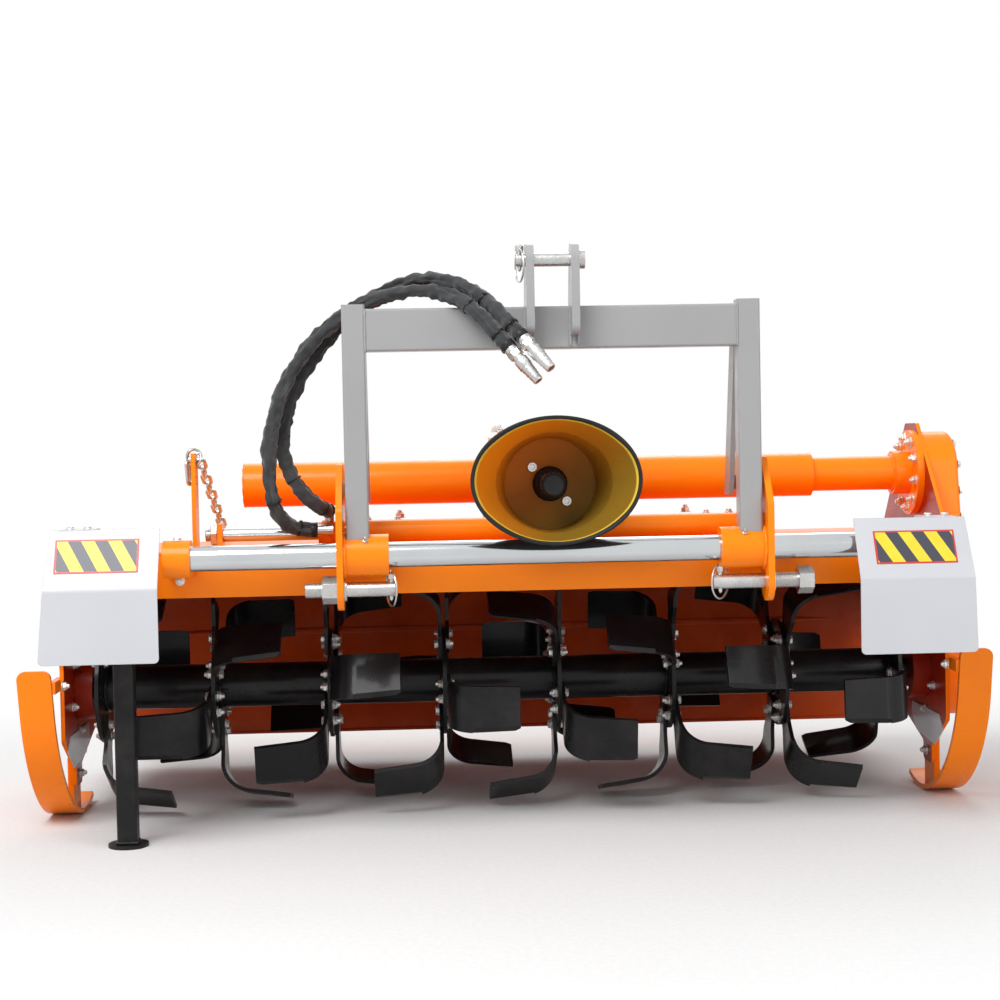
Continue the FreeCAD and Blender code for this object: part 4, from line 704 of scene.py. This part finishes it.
for salt, (name, points) in enumerate(hoses["routes"].items()):
    stem = hoses["stems"][name]
    path, total = routePath(points)
    tube = swept(path, hoses["diameter"] / 2, hoses["sides"], False, wrinkle(7.3 + 5.1 * salt))
    hose = addPiece(stem + "Sleeve", [tube], sleeveCloth, "hitch", crease=60)
    layAlong(hose.data, path, hoses["sides"], math.pi * hoses["diameter"])
    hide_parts(name)
    bands = []
    for start in hoses["ties"]:
        for at in (start, total - start):
            middle = round(at / total * (len(path) - 1))
            heading = path[middle + 1] - path[middle - 1]
            bands.append(lathe(hoses["tie"], 24, path[middle], heading))
            bands.append(moved(softBox(*hoses["tieHead"]), aim(path[middle], heading, 1.2 + salt)))
    for end, ahead in ((0, path[0] - path[3]), (-1, path[-1] - path[-4])):
        bands.append(lathe(hoses["cuff"], 24, path[end], ahead))
    ties = addPiece(stem + "Ties", bands, blackPlastic, "hitch")
    coupling = addPiece(stem + "Coupling", [
        lathe(profile, sides, path[-1], path[-1] - path[-5])
        for profile, sides in ((hoses["coupling"], 24), (hoses["collar"], 6))], zincSteel, "hitch")
    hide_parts(name.replace("hose", "coupling"))
print("hoses")

# Tailboard chain from the post to the lug
chain = {"start": (-0.592, -0.3, 0.73), "end": (-0.592, 0.419, 0.444), "pitch": 0.042,
         "wire": 0.0038, "halfWidth": 0.0112, "halfLength": 0.0256, "slackFrom": 0.84,
         "unevenSpin": 0.12, "bow": 0.0135, "bowLean": 0.004, "pinSide": -0.017,
         "pin": [(0.0, -0.004), (0.0065, -0.004), (0.0065, 0.0), (0.0045, 0.001),
                 (0.0045, 0.022), (0.0, 0.022)]}


def chainLink(facts, corners=16):
    bend = facts["halfWidth"] - facts["wire"]
    straight = facts["halfLength"] - facts["wire"] - bend
    path = []
    for step in range(corners):
        angle = fullTurn * (step + 0.5) / corners
        end = straight if math.sin(angle) > 0 else -straight
        path.append(Vector((bend * math.cos(angle), 0.0, bend * math.sin(angle) + end)))
    return swept(path, facts["wire"], 8, True)


def makeChain(facts):
    start, end = Vector(facts["start"]), Vector(facts["end"])
    links = round((end - start).length / facts["pitch"])
    spots = []
    for number in range(links):
        uneven = facts["unevenSpin"] * ripples.noise(Vector((number * 1.7, 0.0, 0.0)))
        spots.append((start.lerp(end, (number + 0.5) / links), end - start, 1.0,
                      math.pi / 2 * (number % 2) + uneven))
    link = repeated("chainLink", [chainLink(facts)])
    made = spread("tailboardChain", link, spots, zincSteel, None)
    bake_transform(made)
    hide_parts("chain")
    for spot, body, lean in ((start, "root", 1), (end, "tailboard", -1)):
        bow = [spot + Vector((facts["bow"] * math.cos(angle), facts["bowLean"] * lean,
                              facts["bow"] * math.sin(angle)))
               for angle in [math.pi * (0.5 + step / 6) for step in range(7)]]
        pin = lathe(facts["pin"], 12, spot + Vector((facts["pinSide"], 0.0, 0.0)))
        addPiece(body + "ChainPin", [swept(bow, 0.003, 8), pin], zincSteel, body)


makeChain(chain)
print("chain")

# Blade bolts: two through each blade's shank, heads on the blade, nuts behind the flange
reel = {"rowX": -0.012, "pitch": 0.234, "count": 8, "start": -47.2, "step": 18.4,
        "leftLead": 47.0, "flangeHalf": 0.004, "bladeWall": 0.008, "head": 0.0112,
        "holes": ((0.078, -0.0135), (0.097, 0.0135)), "beadLift": 0.006, "beadRadius": 0.046}
heads, nuts, beads = [], [], []
for number in range(reel["count"]):
    x = reel["rowX"] + (number - (reel["count"] - 1) / 2) * reel["pitch"]
    for side in (1, -1):
        if not 0 <= number + side < reel["count"]:
            continue
        face = Vector((side, 0.0, 0.0))
        lead = reel["start"] + reel["step"] * number + (reel["leftLead"] if side < 0 else 0.0)
        for third in range(3):
            angle = math.radians(lead + 120 * third)
            outward = Vector((0.0, -math.cos(angle), -math.sin(angle)))
            around = Vector((0.0, math.sin(angle), -math.cos(angle)))
            for out, aside in reel["holes"]:
                spot = Vector((x, *rotorAxis)) + outward * out + around * aside
                heads.append((spot + face * (reel["flangeHalf"] + reel["bladeWall"]), face,
                              reel["head"]))
                nuts.append((spot - face * reel["flangeHalf"], -face, reel["head"]))
        middle = (x + side * reel["beadLift"], *rotorAxis)
        beads.append(weld(circle(middle, reel["beadRadius"], 56), 0.004, True))
spreadBolts("bladeBoltHeads", boltHead, heads, "rotor", 3)
spreadBolts("bladeBoltNuts", lockNut, nuts, "rotor", 5)
addWelds("flangeWelds", beads, rotorPaint, "rotor")
print("blade bolts:", len(heads))


def threads(start, end, radius, pitch=0.0025):
    # ridged sleeve between two points, for a cut thread
    start, end = Vector(start), Vector(end)
    rings = int((end - start).length / pitch)
    profile = [(radius - 0.001, 0.0)]
    for number in range(rings):
        profile += [(radius - 0.0002, (number + 0.15) * pitch),
                    (radius + 0.0007, (number + 0.5) * pitch),
                    (radius - 0.0002, (number + 0.85) * pitch)]
    profile.append((radius - 0.001, rings * pitch))
    return lathe(profile, 24, start, end - start)


def flatWasher(start, direction, radius, thick, edge=0.0006):
    return lathe([(0.0, 0.0), (radius - edge, 0.0), (radius, edge), (radius, thick - edge),
                  (radius - edge, thick), (0.0, thick)], 28, start, direction)


lynch = {"head": 0.008, "shank": 0.0042, "ringFrom": 98, "ringTurn": 350, "wire": 0.0019}


def lynchPin(middle, reach, ring, tilt, drop=0.0):
    # shank down through the pin, a spring ring hung from its head and closed under it
    middle = Vector(middle)
    profile = [(0.0, -0.007 - reach), (0.0032, -0.004 - reach), (lynch["shank"], -reach),
               (lynch["shank"], reach + 0.001), (0.0075, reach + 0.002),
               (lynch["head"], reach + 0.004), (lynch["head"], reach + 0.011),
               (0.0062, reach + 0.013), (0.0, reach + 0.0135)]
    path = []
    for step in range(40):
        angle = math.radians(lynch["ringFrom"] + lynch["ringTurn"] * step / 39)
        swing = Vector((0.0, ring * math.cos(angle), ring * math.sin(angle) - drop))
        path.append(middle + Matrix.Rotation(tilt, 3, "Z") @ swing)
    return [moved(turned(profile, 14), Matrix.Translation(middle)),
            swept(path, lynch["wire"], 8)]


# Hitch pins: threads, washers, lynch pins and their rings
pins = {"lower": (-0.428, 0.484), "top": (-0.462, 1.086), "thread": 0.0141,
        "end": [(0.0, 0.0), (0.0125, 0.0), (0.0141, -0.0015), (0.0141, -0.003), (0.0, -0.003)],
        "topEnd": [(0.0, -0.0015), (0.0118, -0.0015), (0.013, 0.0), (0.013, 0.004), (0.0, 0.004)]}
lower, top = pins["lower"], pins["top"]
pinParts = [
    threads((-0.388, *lower), (-0.357, *lower), pins["thread"]),
    flatWasher((-0.3295, *lower), (1, 0, 0), 0.0235, 0.0035),
    threads((0.49, *lower), (0.533, *lower), pins["thread"]),
    lathe(pins["end"], 24, (0.564, *lower)),
    *lynchPin((-0.229, *lower), 0.0165, 0.0325, 0.32),
    *lynchPin((0.387, *lower), 0.0165, 0.0325, -0.66),
    *lynchPin((0.019, *top), 0.0145, 0.03, 0.2, 0.01),
    lathe(pins["topEnd"], 24, (0.0135, *top)),
    flatWasher((0.1272, *top), (1, 0, 0), 0.0195, 0.0022),
]
addPiece("hitchPinFittings", pinParts, zincSteel, "hitch")
print("hitch pins")

# Weld beads of the mast, the hitch plates and the sleeves
lowBead, highBead = (-0.4445, 0.545, 0.575, 0.0025), (-0.444, 0.924, 1.003, 0.0022)
mastBeads = [(-0.3105, *lowBead), (-0.2675, *highBead), (0.4235, *highBead), (0.4665, *lowBead)]
mastBeads += [(x, -0.4455, 0.93, 1.0, 0.003) for x in (0.029, 0.044, 0.112, 0.127)]
mastWelds = [weld([(x, y, low), (x, y, high)], size) for x, y, low, high, size in mastBeads]
addWelds("mastWelds", mastWelds, greyPaint, "hitch")
hitchWelds = [weld(circle((x, -0.42, 0.547), 0.04, 48), 0.004, True) for x in (-0.314, 0.47)]
hitchWelds += [weld([(x, -0.36, 0.594), (x, -0.2, 0.594)], 0.0035)
               for x in (-0.328, -0.316, 0.472, 0.484)]
addWelds("hitchWelds", hitchWelds, orangePaint, "hitch")
print("weld beads")

# Input shaft: rubber boot on the gearbox neck, cap over the splines, inner guard plate's bolts
shaft = {
    "middle": (0.078, 0.671), "bootY": -0.3235, "capY": -0.3516, "plateY": -0.3172,
    "boot": [(0.0175, 0.0), (0.033, 0.0), (0.0338, 0.003), (0.0318, 0.007), (0.0318, 0.012),
             (0.03, 0.015), (0.0308, 0.019), (0.029, 0.024), (0.0245, 0.0265), (0.0175, 0.0265),
             (0.0175, 0.0)],
    "cap": [(0.0178, 0.0), (0.024, 0.0), (0.025, 0.001), (0.025, 0.006), (0.0236, 0.008),
            (0.023, 0.06), (0.0222, 0.068), (0.0205, 0.072), (0.019, 0.0735), (0.0182, 0.0712),
            (0.0, 0.0706)],
    "rib": ((0.0222, -0.0012, 0.01), (0.0246, 0.0012, 0.066), 0.0006), "ribs": 18,
    "bolts": ((-0.0335, 0.0326), (0.032, -0.034)), "boltSize": 0.0118,
    "lug": ((0.05, -0.3195, 0.708), (0.061, -0.3172, 0.718), 0.0006),
    "rim": (0.1545, 0.1155), "rimY": -0.4975, "rimWire": 0.0036,
}
shaftX, shaftZ = shaft["middle"]
forward = (0, -1, 0)
addPiece("shaftBoot", [lathe(shaft["boot"], 32, (shaftX, shaft["bootY"], shaftZ), forward)],
         blackRubber, "hitch")
capSpot = (shaftX, shaft["capY"], shaftZ)
addPiece("shaftCap", [lathe(shaft["cap"], 32, capSpot, forward)], blackPlastic, "pto_shaft")
spread("shaftCapRibs", repeated("capRib", [softBox(*shaft["rib"])]),
       [(capSpot, forward, 1.0, fullTurn * number / shaft["ribs"])
        for number in range(shaft["ribs"])], blackPlastic, "pto_shaft")
plateBolts = [((shaftX + across, shaft["plateY"], shaftZ + above), forward, shaft["boltSize"])
              for across, above in shaft["bolts"]]
spreadBolts("guardBolts", capScrew, plateBolts, "hitch", 2)
plateWashers = [flatWasher(spot[0], forward, 0.0128, 0.0022) for spot in plateBolts]
addPiece("guardWashers", plateWashers + [softBox(*shaft["lug"])], boltZinc, "hitch")
rim = [Vector((guardMiddle[0] + shaft["rim"][0] * math.cos(angle), shaft["rimY"],
               guardMiddle[1] + shaft["rim"][1] * math.sin(angle)))
       for angle in [fullTurn * step / 96 for step in range(96)]]
addPiece("guardRim", [swept(rim, shaft["rimWire"], 10, True)], blackPlastic, "hitch")
print("input shaft")

# Striped reflectors on the two stone guards: yellow and dark bars in a thin red border
stripes = {"wide": 0.1525, "high": 0.067, "bars": 6.2, "lean": -0.036, "shift": 0.19,
           "border": 0.003, "slope": (-0.054, -0.109), "foldY": -0.492,
           "yellow": (0.84, 0.64, 0.045), "yellowShade": (0.78, 0.58, 0.04),
           "dark": (0.062, 0.064, 0.085), "red": (0.6, 0.05, 0.04),
           "left": {"left": -0.8405, "topZ": 0.5885, "foldZ": 0.497},
           "right": {"left": 0.6715, "topZ": 0.573, "foldZ": 0.488}}


def stripedFilm(facts):
    # bars run down and to the right; across is u, down is v, both from the film's own UV map
    material, tree, shader, place = startMaterial("stripedFilm", 0.26, coat=0.3)
    film = addNode(tree, "ShaderNodeUVMap", uv_map="film").outputs["UV"]
    u, v = addNode(tree, "ShaderNodeSeparateXYZ", {"Vector": film}).outputs[:2]
    slant = maths(tree, "ADD", u, product(tree, v, facts["lean"] / facts["wide"]))
    wave = product(tree, maths(tree, "ADD", slant, facts["shift"]), math.pi * facts["bars"])
    bars = ramp(tree, maths(tree, "SINE", wave), -0.05, 0.05)
    grain = patches(tree, place, 60.0, 0.35, 0.7, 4.0)
    yellow = mixColour(tree, grain, facts["yellow"], facts["yellowShade"])
    fromSide, fromTop = (
        product(tree, maths(tree, "SUBTRACT", 0.5, maths(tree, "ABSOLUTE", maths(
            tree, "SUBTRACT", way, 0.5))), size)
        for way, size in ((u, facts["wide"]), (v, facts["high"])))
    border = ramp(tree, maths(tree, "MINIMUM", fromSide, fromTop), facts["border"],
                  facts["border"] - 0.0004)
    cells = addNode(tree, "ShaderNodeTexVoronoi", {"Vector": place, "Scale": 330.0})
    finishMaterial(tree, shader,
                   mixColour(tree, border, mixColour(tree, bars, yellow, facts["dark"]),
                             facts["red"]),
                   bump(tree, cells.outputs["Distance"], 0.0002, 0.5))
    return material


reflectiveFilm = stripedFilm(stripes)


def reflector(name, spot, facts):
    # thin film laid on the guard's sloping face
    across = Vector((1.0, 0.0, 0.0))
    slopeY, slopeZ = facts["slope"]
    down = Vector((0.0, slopeY, slopeZ)).normalized()
    away = down.cross(across)
    frontY = facts["foldY"] + slopeY * (spot["topZ"] - spot["foldZ"]) / slopeZ
    start = Vector((spot["left"], frontY, spot["topZ"]))
    around = ((0, 0), (1, 0), (1, 1), (0, 1))
    corners = [start + across * (u * facts["wide"] + (inset if u == 0 else -inset))
               + down * (v * facts["high"] + (inset if v == 0 else -inset)) + away * lift
               for lift, inset in ((0.0002, 0.0), (0.001, 0.0006)) for u, v in around]
    faces = [(4, 7, 6, 5), (0, 1, 2, 3), (4, 5, 1, 0), (5, 6, 2, 1), (6, 7, 3, 2), (7, 4, 0, 3)]
    mesh = addPiece(name, [(corners, faces)], reflectiveFilm, "root").data
    layer = mesh.uv_layers.new(name="film")
    for loop in mesh.loops:
        layer.data[loop.index].uv = around[loop.vertex_index % 4]


reflector("reflectorLeft", stripes["left"], stripes)
reflector("reflectorRight", stripes["right"], stripes)
print("reflectors")


def ringSpots(middle, radius, count, way, size, start=0.0):
    # fasteners round a circle; way says how they stand: "+X", "-Y", "+Z" and so on
    direction = Vector([(1 if way[0] == "+" else -1) if axis == way[1] else 0 for axis in "XYZ"])
    return [(point, direction, size)
            for point in circle(middle, radius, count, way[1], math.radians(start))]


def sideSpots(x, way, size, places):
    return [((x, y, z), (way, 0, 0), size) for y, z in places]


# Bolts of the gearbox, drive flange, bearings, side plates and skids
upward = (0, 0, 1)
bolting = {
    "lidZ": 0.774, "lidX": (-0.006, 0.162), "lidY": (-0.074, 0.025, 0.124),
    # circles of bolts on the gearbox: place, radius, count, way, size, start
    "boxRings": (((0.078, 0.152, 0.671), 0.06, 6, "+Y", 0.01, 30),
                 ((-0.034, 0.03, 0.671), 0.0565, 8, "-X", 0.009, 22),
                 ((0.19, 0.03, 0.671), 0.0565, 8, "+X", 0.009, 22),
                 ((0.078, -0.102, 0.671), 0.0685, 8, "-Y", 0.0074, 10)),
    "deckZ": 0.594,
    "deck": ((-0.2157, -0.25, 0.0125), (0.3993, -0.2, 0.012), (-0.2157, 0.08, 0.0125),
             (0.3993, 0.08, 0.012), (0.438, -0.24, 0.0135), (-0.28, -0.11, 0.012)),
    "driveRing": ((0.87, 0.03, 0.671), 0.074, 10, "-X", 0.0112, 12),
    "plateInner": 0.884, "plateOuter": 0.892, "skidNuts": [(-0.205, 0.288), (-0.05, 0.088)],
    "capRing": ((-0.906, *rotorAxis), 0.052, 6, "-X", 0.01, 0),
    "hoodRow": [(-0.2, 0.532), (-0.09, 0.532), (0.1, 0.524), (0.21, 0.488), (0.295, 0.44)],
    "tubeY": 0.03, "tubeRoom": 0.125,
    "caseTop": (0.03, 0.671, 0.073), "caseLow": (*rotorAxis, 0.085), "caseX": 0.958,
    "guardTop": ((-0.822, 0.6062), (-0.79, 0.6062), (0.79, 0.5972), (0.822, 0.5972)),
}


def caseEdge(facts, count=24, steps=8):
    # places round the side case, a bolt's width inside its outline
    topY, topZ, topR = facts["caseTop"]
    lowY, lowZ, lowR = facts["caseLow"]
    lean = math.atan2(lowY - topY, topZ - lowZ)
    outline = []
    for y, z, radius, first in ((topY, topZ, topR, 0.0), (lowY, lowZ, lowR, math.pi)):
        for step in range(steps + 1):
            angle = first + math.pi * step / steps + lean
            outline.append((y + radius * math.cos(angle), z + radius * math.sin(angle)))
    outline.append(outline[0])
    lengths = [math.dist(start, end) for start, end in zip(outline, outline[1:])]
    places = []
    for number in range(count):
        wanted, index = sum(lengths) * number / count, 0
        while wanted > lengths[index]:
            wanted -= lengths[index]
            index += 1
        share = wanted / lengths[index]
        places.append(tuple(start + (end - start) * share
                            for start, end in zip(outline[index], outline[index + 1])))
    return places


hitchBolts = [((x, y, bolting["lidZ"]), upward, 0.0105)
              for x in bolting["lidX"] for y in bolting["lidY"]]
for ring in bolting["boxRings"]:
    hitchBolts += ringSpots(*ring)
hitchBolts += [((x, y, bolting["deckZ"]), upward, size) for x, y, size in bolting["deck"]]
spreadBolts("hitchBolts", lockNut, hitchBolts, "hitch", 8)

inner, outer = bolting["plateInner"], bolting["plateOuter"]
bodyNuts = ringSpots(*bolting["driveRing"])
for side, way in ((-1, "+X"), (1, "-X")):
    bodyNuts += ringSpots((side * inner, *rotorAxis), 0.085, 6, way, 0.01, 18)
    bodyNuts += sideSpots(side * inner, -side, 0.0105, bolting["skidNuts"])
bodyNuts += [((x, -0.3655, 0.503), forward, 0.0092) for x in (-0.627, 0.689)]
spreadBolts("bodyNuts", lockNut, bodyNuts, "root", 4)
bodyBolts = ringSpots(*bolting["capRing"])
bodyBolts += sideSpots(-outer, -1, 0.0105, bolting["hoodRow"])
bodyBolts += sideSpots(outer, 1, 0.0105, [
    place for place in bolting["hoodRow"]
    if abs(place[0] - bolting["tubeY"]) > bolting["tubeRoom"]])
bodyBolts += sideSpots(bolting["caseX"], 1, 0.0092, caseEdge(bolting))
bodyBolts += [((x, -0.42, 0.5815), upward, 0.009) for x in (-0.623, 0.689)]
bodyBolts += [((-0.634, -0.3, 0.5632), upward, 0.01)]
bodyBolts += [((x, -0.402, z), upward, 0.0085) for x, z in bolting["guardTop"]]
spreadBolts("bodyBolts", boltHead, bodyBolts, "root", 6)
print("bolts:", len(hitchBolts) + len(bodyNuts) + len(bodyBolts))

# Oil plugs, breather, grease nipples, rod nut and cylinder gland
small = {
    "plug": [(0.0, 0.0), (0.0115, 0.0), (0.012, 0.0012), (0.012, 0.003), (0.0085, 0.0034),
             (0.0085, 0.0072), (0.007, 0.0078), (0.0, 0.0078)],
    "casePlugs": ((0.03, 0.7), (-0.01, 0.4), (-0.025, 0.2)),
    "boxPlugs": ((0.078, 0.152, 0.671), (0.15, 0.14, 0.625)),
    "breather": [(0.0, 0.0), (0.0105, 0.0), (0.0105, 0.01), (0.008, 0.012), (0.008, 0.016),
                 (0.013, 0.018), (0.013, 0.028), (0.011, 0.031), (0.0, 0.032)],
    "nipple": [(0.0, 0.0), (0.0048, 0.0), (0.0048, 0.003), (0.0026, 0.0035), (0.0026, 0.0065),
               (0.0034, 0.008), (0.003, 0.0105), (0.0016, 0.012), (0.0, 0.012)],
    "nipples": (-0.275, 0.431), "nippleY": -0.4476, "nippleZ": 0.5746,
    "rod": (-0.285, 0.5835),
    "rodNut": [(0.0, 0.0), (0.0189, 0.0), (0.021, 0.00105), (0.021, 0.01245), (0.0189, 0.0135),
               (0.0, 0.0135)],
    "gland": [(0.0135, 0.0), (0.0205, 0.0), (0.0215, 0.001), (0.0215, 0.006), (0.0238, 0.007),
              (0.0246, 0.009), (0.0246, 0.024), (0.0232, 0.026), (0.0135, 0.026), (0.0135, 0.0)],
}
rod = small["rod"]
for name, shapes, material, body, slot in (
    ("casePlugs", [lathe(small["plug"], 6, (bolting["caseX"], y, z))
                   for y, z in small["casePlugs"]], zincSteel, "root", "zinc"),
    ("gearboxPlugs", [lathe(small["plug"], 6, spot, (0, 1, 0)) for spot in small["boxPlugs"]],
     zincSteel, "hitch", "zinc"),
    ("gearboxBreather", [lathe(small["breather"], 20, (0.128, 0.075, bolting["lidZ"]), upward)],
     blackPlastic, "hitch", None),
    ("greaseNipples", [lathe(small["nipple"], 10, (x, small["nippleY"], small["nippleZ"]),
                             (0, -1, 1)) for x in small["nipples"]], zincSteel, "hitch", "zinc"),
    ("rodNuts", [threads((-0.5635, *rod), (-0.586, *rod), 0.0118),
                 moved(turned(small["rodNut"], 6, 0.2), aim((-0.5625, *rod), (-1, 0, 0)))],
     zincSteel, "root", "zinc"),
    ("cylinderGland", [lathe(small["gland"], 32, (-0.369, *rod))], orangePaint, "hitch", None),
):
    addPiece(name, shapes, material, body)
print("small fittings")

# Tailboard: pressed beads, folded lower edge and hinge weld
board = {"top": (0.346, 0.436), "low": (0.508, 0.07), "half": 0.875, "beads": (0.3, 0.62),
         "beadEnd": 0.78, "beadSink": -0.0025, "beadWidth": 0.0085, "steps": 60,
         "foldAt": 0.985, "foldSink": -0.0045, "foldRadius": 0.0042,
         "seamAt": 0.043, "seamLift": 0.0012, "seamHalf": 0.87}


def onBoard(x, share, lift):
    top, low = Vector((0.0, *board["top"])), Vector((0.0, *board["low"]))
    away = Vector((0.0, top.z - low.z, low.y - top.y)).normalized()
    return top.lerp(low, share) + away * lift + Vector((x, 0.0, 0.0))


steps = board["steps"]
boardParts = [
    swept([onBoard(board["beadEnd"] * (2 * step / steps - 1), share, board["beadSink"])
           for step in range(steps + 1)],
          [board["beadWidth"] * min(1.0, 0.35 + 0.16 * min(step, steps - step))
           for step in range(steps + 1)], 14)
    for share in board["beads"]]
boardParts.append(swept([onBoard(board["half"] * part, board["foldAt"], board["foldSink"])
                         for part in (-0.999, -0.5, 0.0, 0.5, 0.999)], board["foldRadius"], 12))
addPiece("tailboardBeads", boardParts, boardPaint, "tailboard")
seam = [onBoard(x, board["seamAt"], board["seamLift"])
        for x in (-board["seamHalf"], board["seamHalf"])]
addWelds("tailboardWeld", [weld(seam, 0.003, False, 0.012)], boardPaint, "tailboard")

# Stand: locking pin with its ring, foot weld, and the row of holes as black discs of painted shade
stand = {"place": (-0.738, -0.352, 0.47), "half": 0.019, "footZ": 0.009, "holes": 8,
         "holePitch": 0.05,
         "handle": ((0.04, 0.0), (0.05, 0.0), (0.055, -0.006), (0.055, -0.04)),
         "pin": [(0.0, 0.0), (0.005, 0.0), (0.006, 0.001), (0.006, 0.084), (0.0042, 0.088),
                 (0.0, 0.088)], "pinFrom": -0.046,
         "ringAt": (-0.038, -0.012), "ring": 0.0145, "ringWire": 0.0016,
         "hole": [(0.0, -0.0004), (0.007, -0.0004), (0.007, 0.00012), (0.0, 0.00012)]}
standX, standY, pinZ = stand["place"]
addPiece("standPin", [
    swept([(standX + x, standY, pinZ + z) for x, z in stand["handle"]], 0.0045, 10),
    lathe(stand["pin"], 16, (standX + stand["pinFrom"], standY, pinZ)),
    swept(circle((standX + stand["ringAt"][0], standY, pinZ + stand["ringAt"][1]),
                 stand["ring"], 20), stand["ringWire"], 8, True),
], zincSteel, "root")
half = stand["half"]
footWeld = [(standX + x * half, standY + y * half, stand["footZ"])
            for x, y in ((-1, -1), (1, -1), (1, 1), (-1, 1))]
addWelds("standFootWeld", [weld(footWeld, 0.003, True, 0.006)], standPaint, "stand")
spread("standHoles", repeated("standHole", [turned(stand["hole"], 18)]),
       [((standX + side * half, standY, pinZ - stand["holePitch"] * number), (side, 0, 0), 1.0)
        for side in (-1, 1) for number in range(stand["holes"])], blackPlastic, "stand")

# Shackle and spare link at the top of the chain post
postTop = Vector((-0.603, -0.3, 0.735))
shackle = [postTop + Vector((0.013 * math.cos(angle), 0.004 * math.sin(2 * angle),
                             0.0155 * math.sin(angle)))
           for angle in [fullTurn * step / 28 for step in range(28)]]
spareLink = moved(chainLink(chain),
                  aim(postTop + Vector((-0.0115, 0.004, -0.03)), (0.06, 0.1, -1), 1.35))
addPiece("chainShackle", [swept(shackle, 0.0032, 8, True), spareLink], zincSteel, "root")

# Welds of the post, the drive tubes and the hub, and the seam of the hood's front lip
addWelds("postWeld", [weld([(-0.607, -0.322, 0.5645), (-0.607, -0.278, 0.5645)], 0.003)],
         orangePaint)
driveMiddle = (0.03, 0.671)
addWelds("bodyWelds", [
    weld(circle((0.8355, *driveMiddle), 0.037, 40), 0.003, True),
    weld([(-0.85, -0.3665, 0.556), (0.85, -0.3665, 0.556)], 0.0022, False, 0.012)], orangePaint)
addWelds("tubeWelds", [weld(circle((x, *driveMiddle), radius, 48), size, True)
                       for x, radius, size in ((-0.035, 0.047, 0.0032), (0.191, 0.047, 0.0032),
                                               (-0.5385, 0.0445, 0.0024))], orangePaint, "hitch")
print("tailboard, stand and welds")

lights = {
    "sky": 0.44,
    "key": {"power": 180.0, "size": 2.6, "place": (-1.6, -2.6, 3.8), "aim": (0.0, 0.0, 0.4)},
    "fill": {"power": 45.0, "size": 3.0, "place": (3.0, -3.2, 1.9), "aim": (0.0, 0.0, 0.5)},
    "back": {"power": 80.0, "size": 3.5, "place": (0.6, 3.6, 3.4), "aim": (0.0, 0.2, 0.5)},
}
for name in ("key", "fill", "back"):
    facts = lights[name]
    data = bpy.data.lights.new(name + "Lamp", "AREA")
    data.energy = facts["power"]
    data.shape = "DISK"
    data.size = facts["size"]
    lamp = bpy.data.objects.new(name + "Lamp", data)
    lamp.location = facts["place"]
    toward = Vector(facts["aim"]) - Vector(facts["place"])
    lamp.rotation_euler = toward.to_track_quat("-Z", "Y").to_euler()
    scene.collection.objects.link(lamp)


def seenAs(tree, *kinds):
    # 1 for rays of the given kinds
    rays = addNode(tree, "ShaderNodeLightPath").outputs
    seen = rays[kinds[0]]
    for kind in kinds[1:]:
        seen = maths(tree, "MAXIMUM", seen, rays[kind])
    return seen


# White backdrop for what the camera and mirrors see, a dimmer sky as light
world = bpy.data.worlds.new("softSky")
world.use_nodes = True
skyTree = world.node_tree
direct = seenAs(skyTree, "Is Camera Ray", "Is Glossy Ray", "Is Transmission Ray")
background = skyTree.nodes["Background"]
background.inputs["Color"].default_value = (1.0, 1.0, 1.0, 1.0)
skyTree.links.new(ramp(skyTree, direct, 0.0, 1.0, lights["sky"], 1.0),
                  background.inputs["Strength"])
scene.world = world
scene.view_settings.view_transform = "Standard"

ground = {"half": 9.0, "pale": (0.8, 0.8, 0.8), "shade": (0.74, 0.74, 0.74), "grain": 90.0,
          "fadeFrom": 1.0, "fadeTo": 2.1}


def makeFloor(facts):
    half = facts["half"]
    mesh = bpy.data.meshes.new("floor")
    mesh.from_pydata([(-half, -half, 0), (half, -half, 0), (half, half, 0), (-half, half, 0)],
                     [], [(0, 1, 2, 3)])
    floor = bpy.data.objects.new("floor", mesh)
    scene.collection.objects.link(floor)
    material, tree, shader, place = startMaterial("paleFloor", 0.8)
    grain = noise(tree, place, facts["grain"], 6.0, 0.7)
    finishMaterial(tree, shader,
                   mixColour(tree, ramp(tree, grain, 0.3, 0.7), facts["pale"], facts["shade"]),
                   bump(tree, grain, 0.002, 0.4))
    # away from the machine the floor turns to the backdrop's plain white
    gone = addNode(tree, "ShaderNodeVectorMath", {0: place}, operation="LENGTH").outputs["Value"]
    far = addNode(tree, "ShaderNodeMapRange", {
        "Value": gone, "From Min": facts["fadeFrom"], "From Max": facts["fadeTo"]},
        interpolation_type="SMOOTHSTEP").outputs["Result"]
    white = addNode(tree, "ShaderNodeEmission", {"Color": (1.0, 1.0, 1.0, 1.0), "Strength": 1.0})
    shown = product(tree, far, seenAs(tree, "Is Camera Ray", "Is Glossy Ray"))
    blended = addNode(tree, "ShaderNodeMixShader", {
        0: shown, 1: shader.outputs["BSDF"], 2: white.outputs["Emission"]})
    tree.links.new(blended.outputs["Shader"], tree.nodes["Material Output"].inputs["Surface"])
    mesh.materials.append(material)


makeFloor(ground)
print("camera, floor and lights")
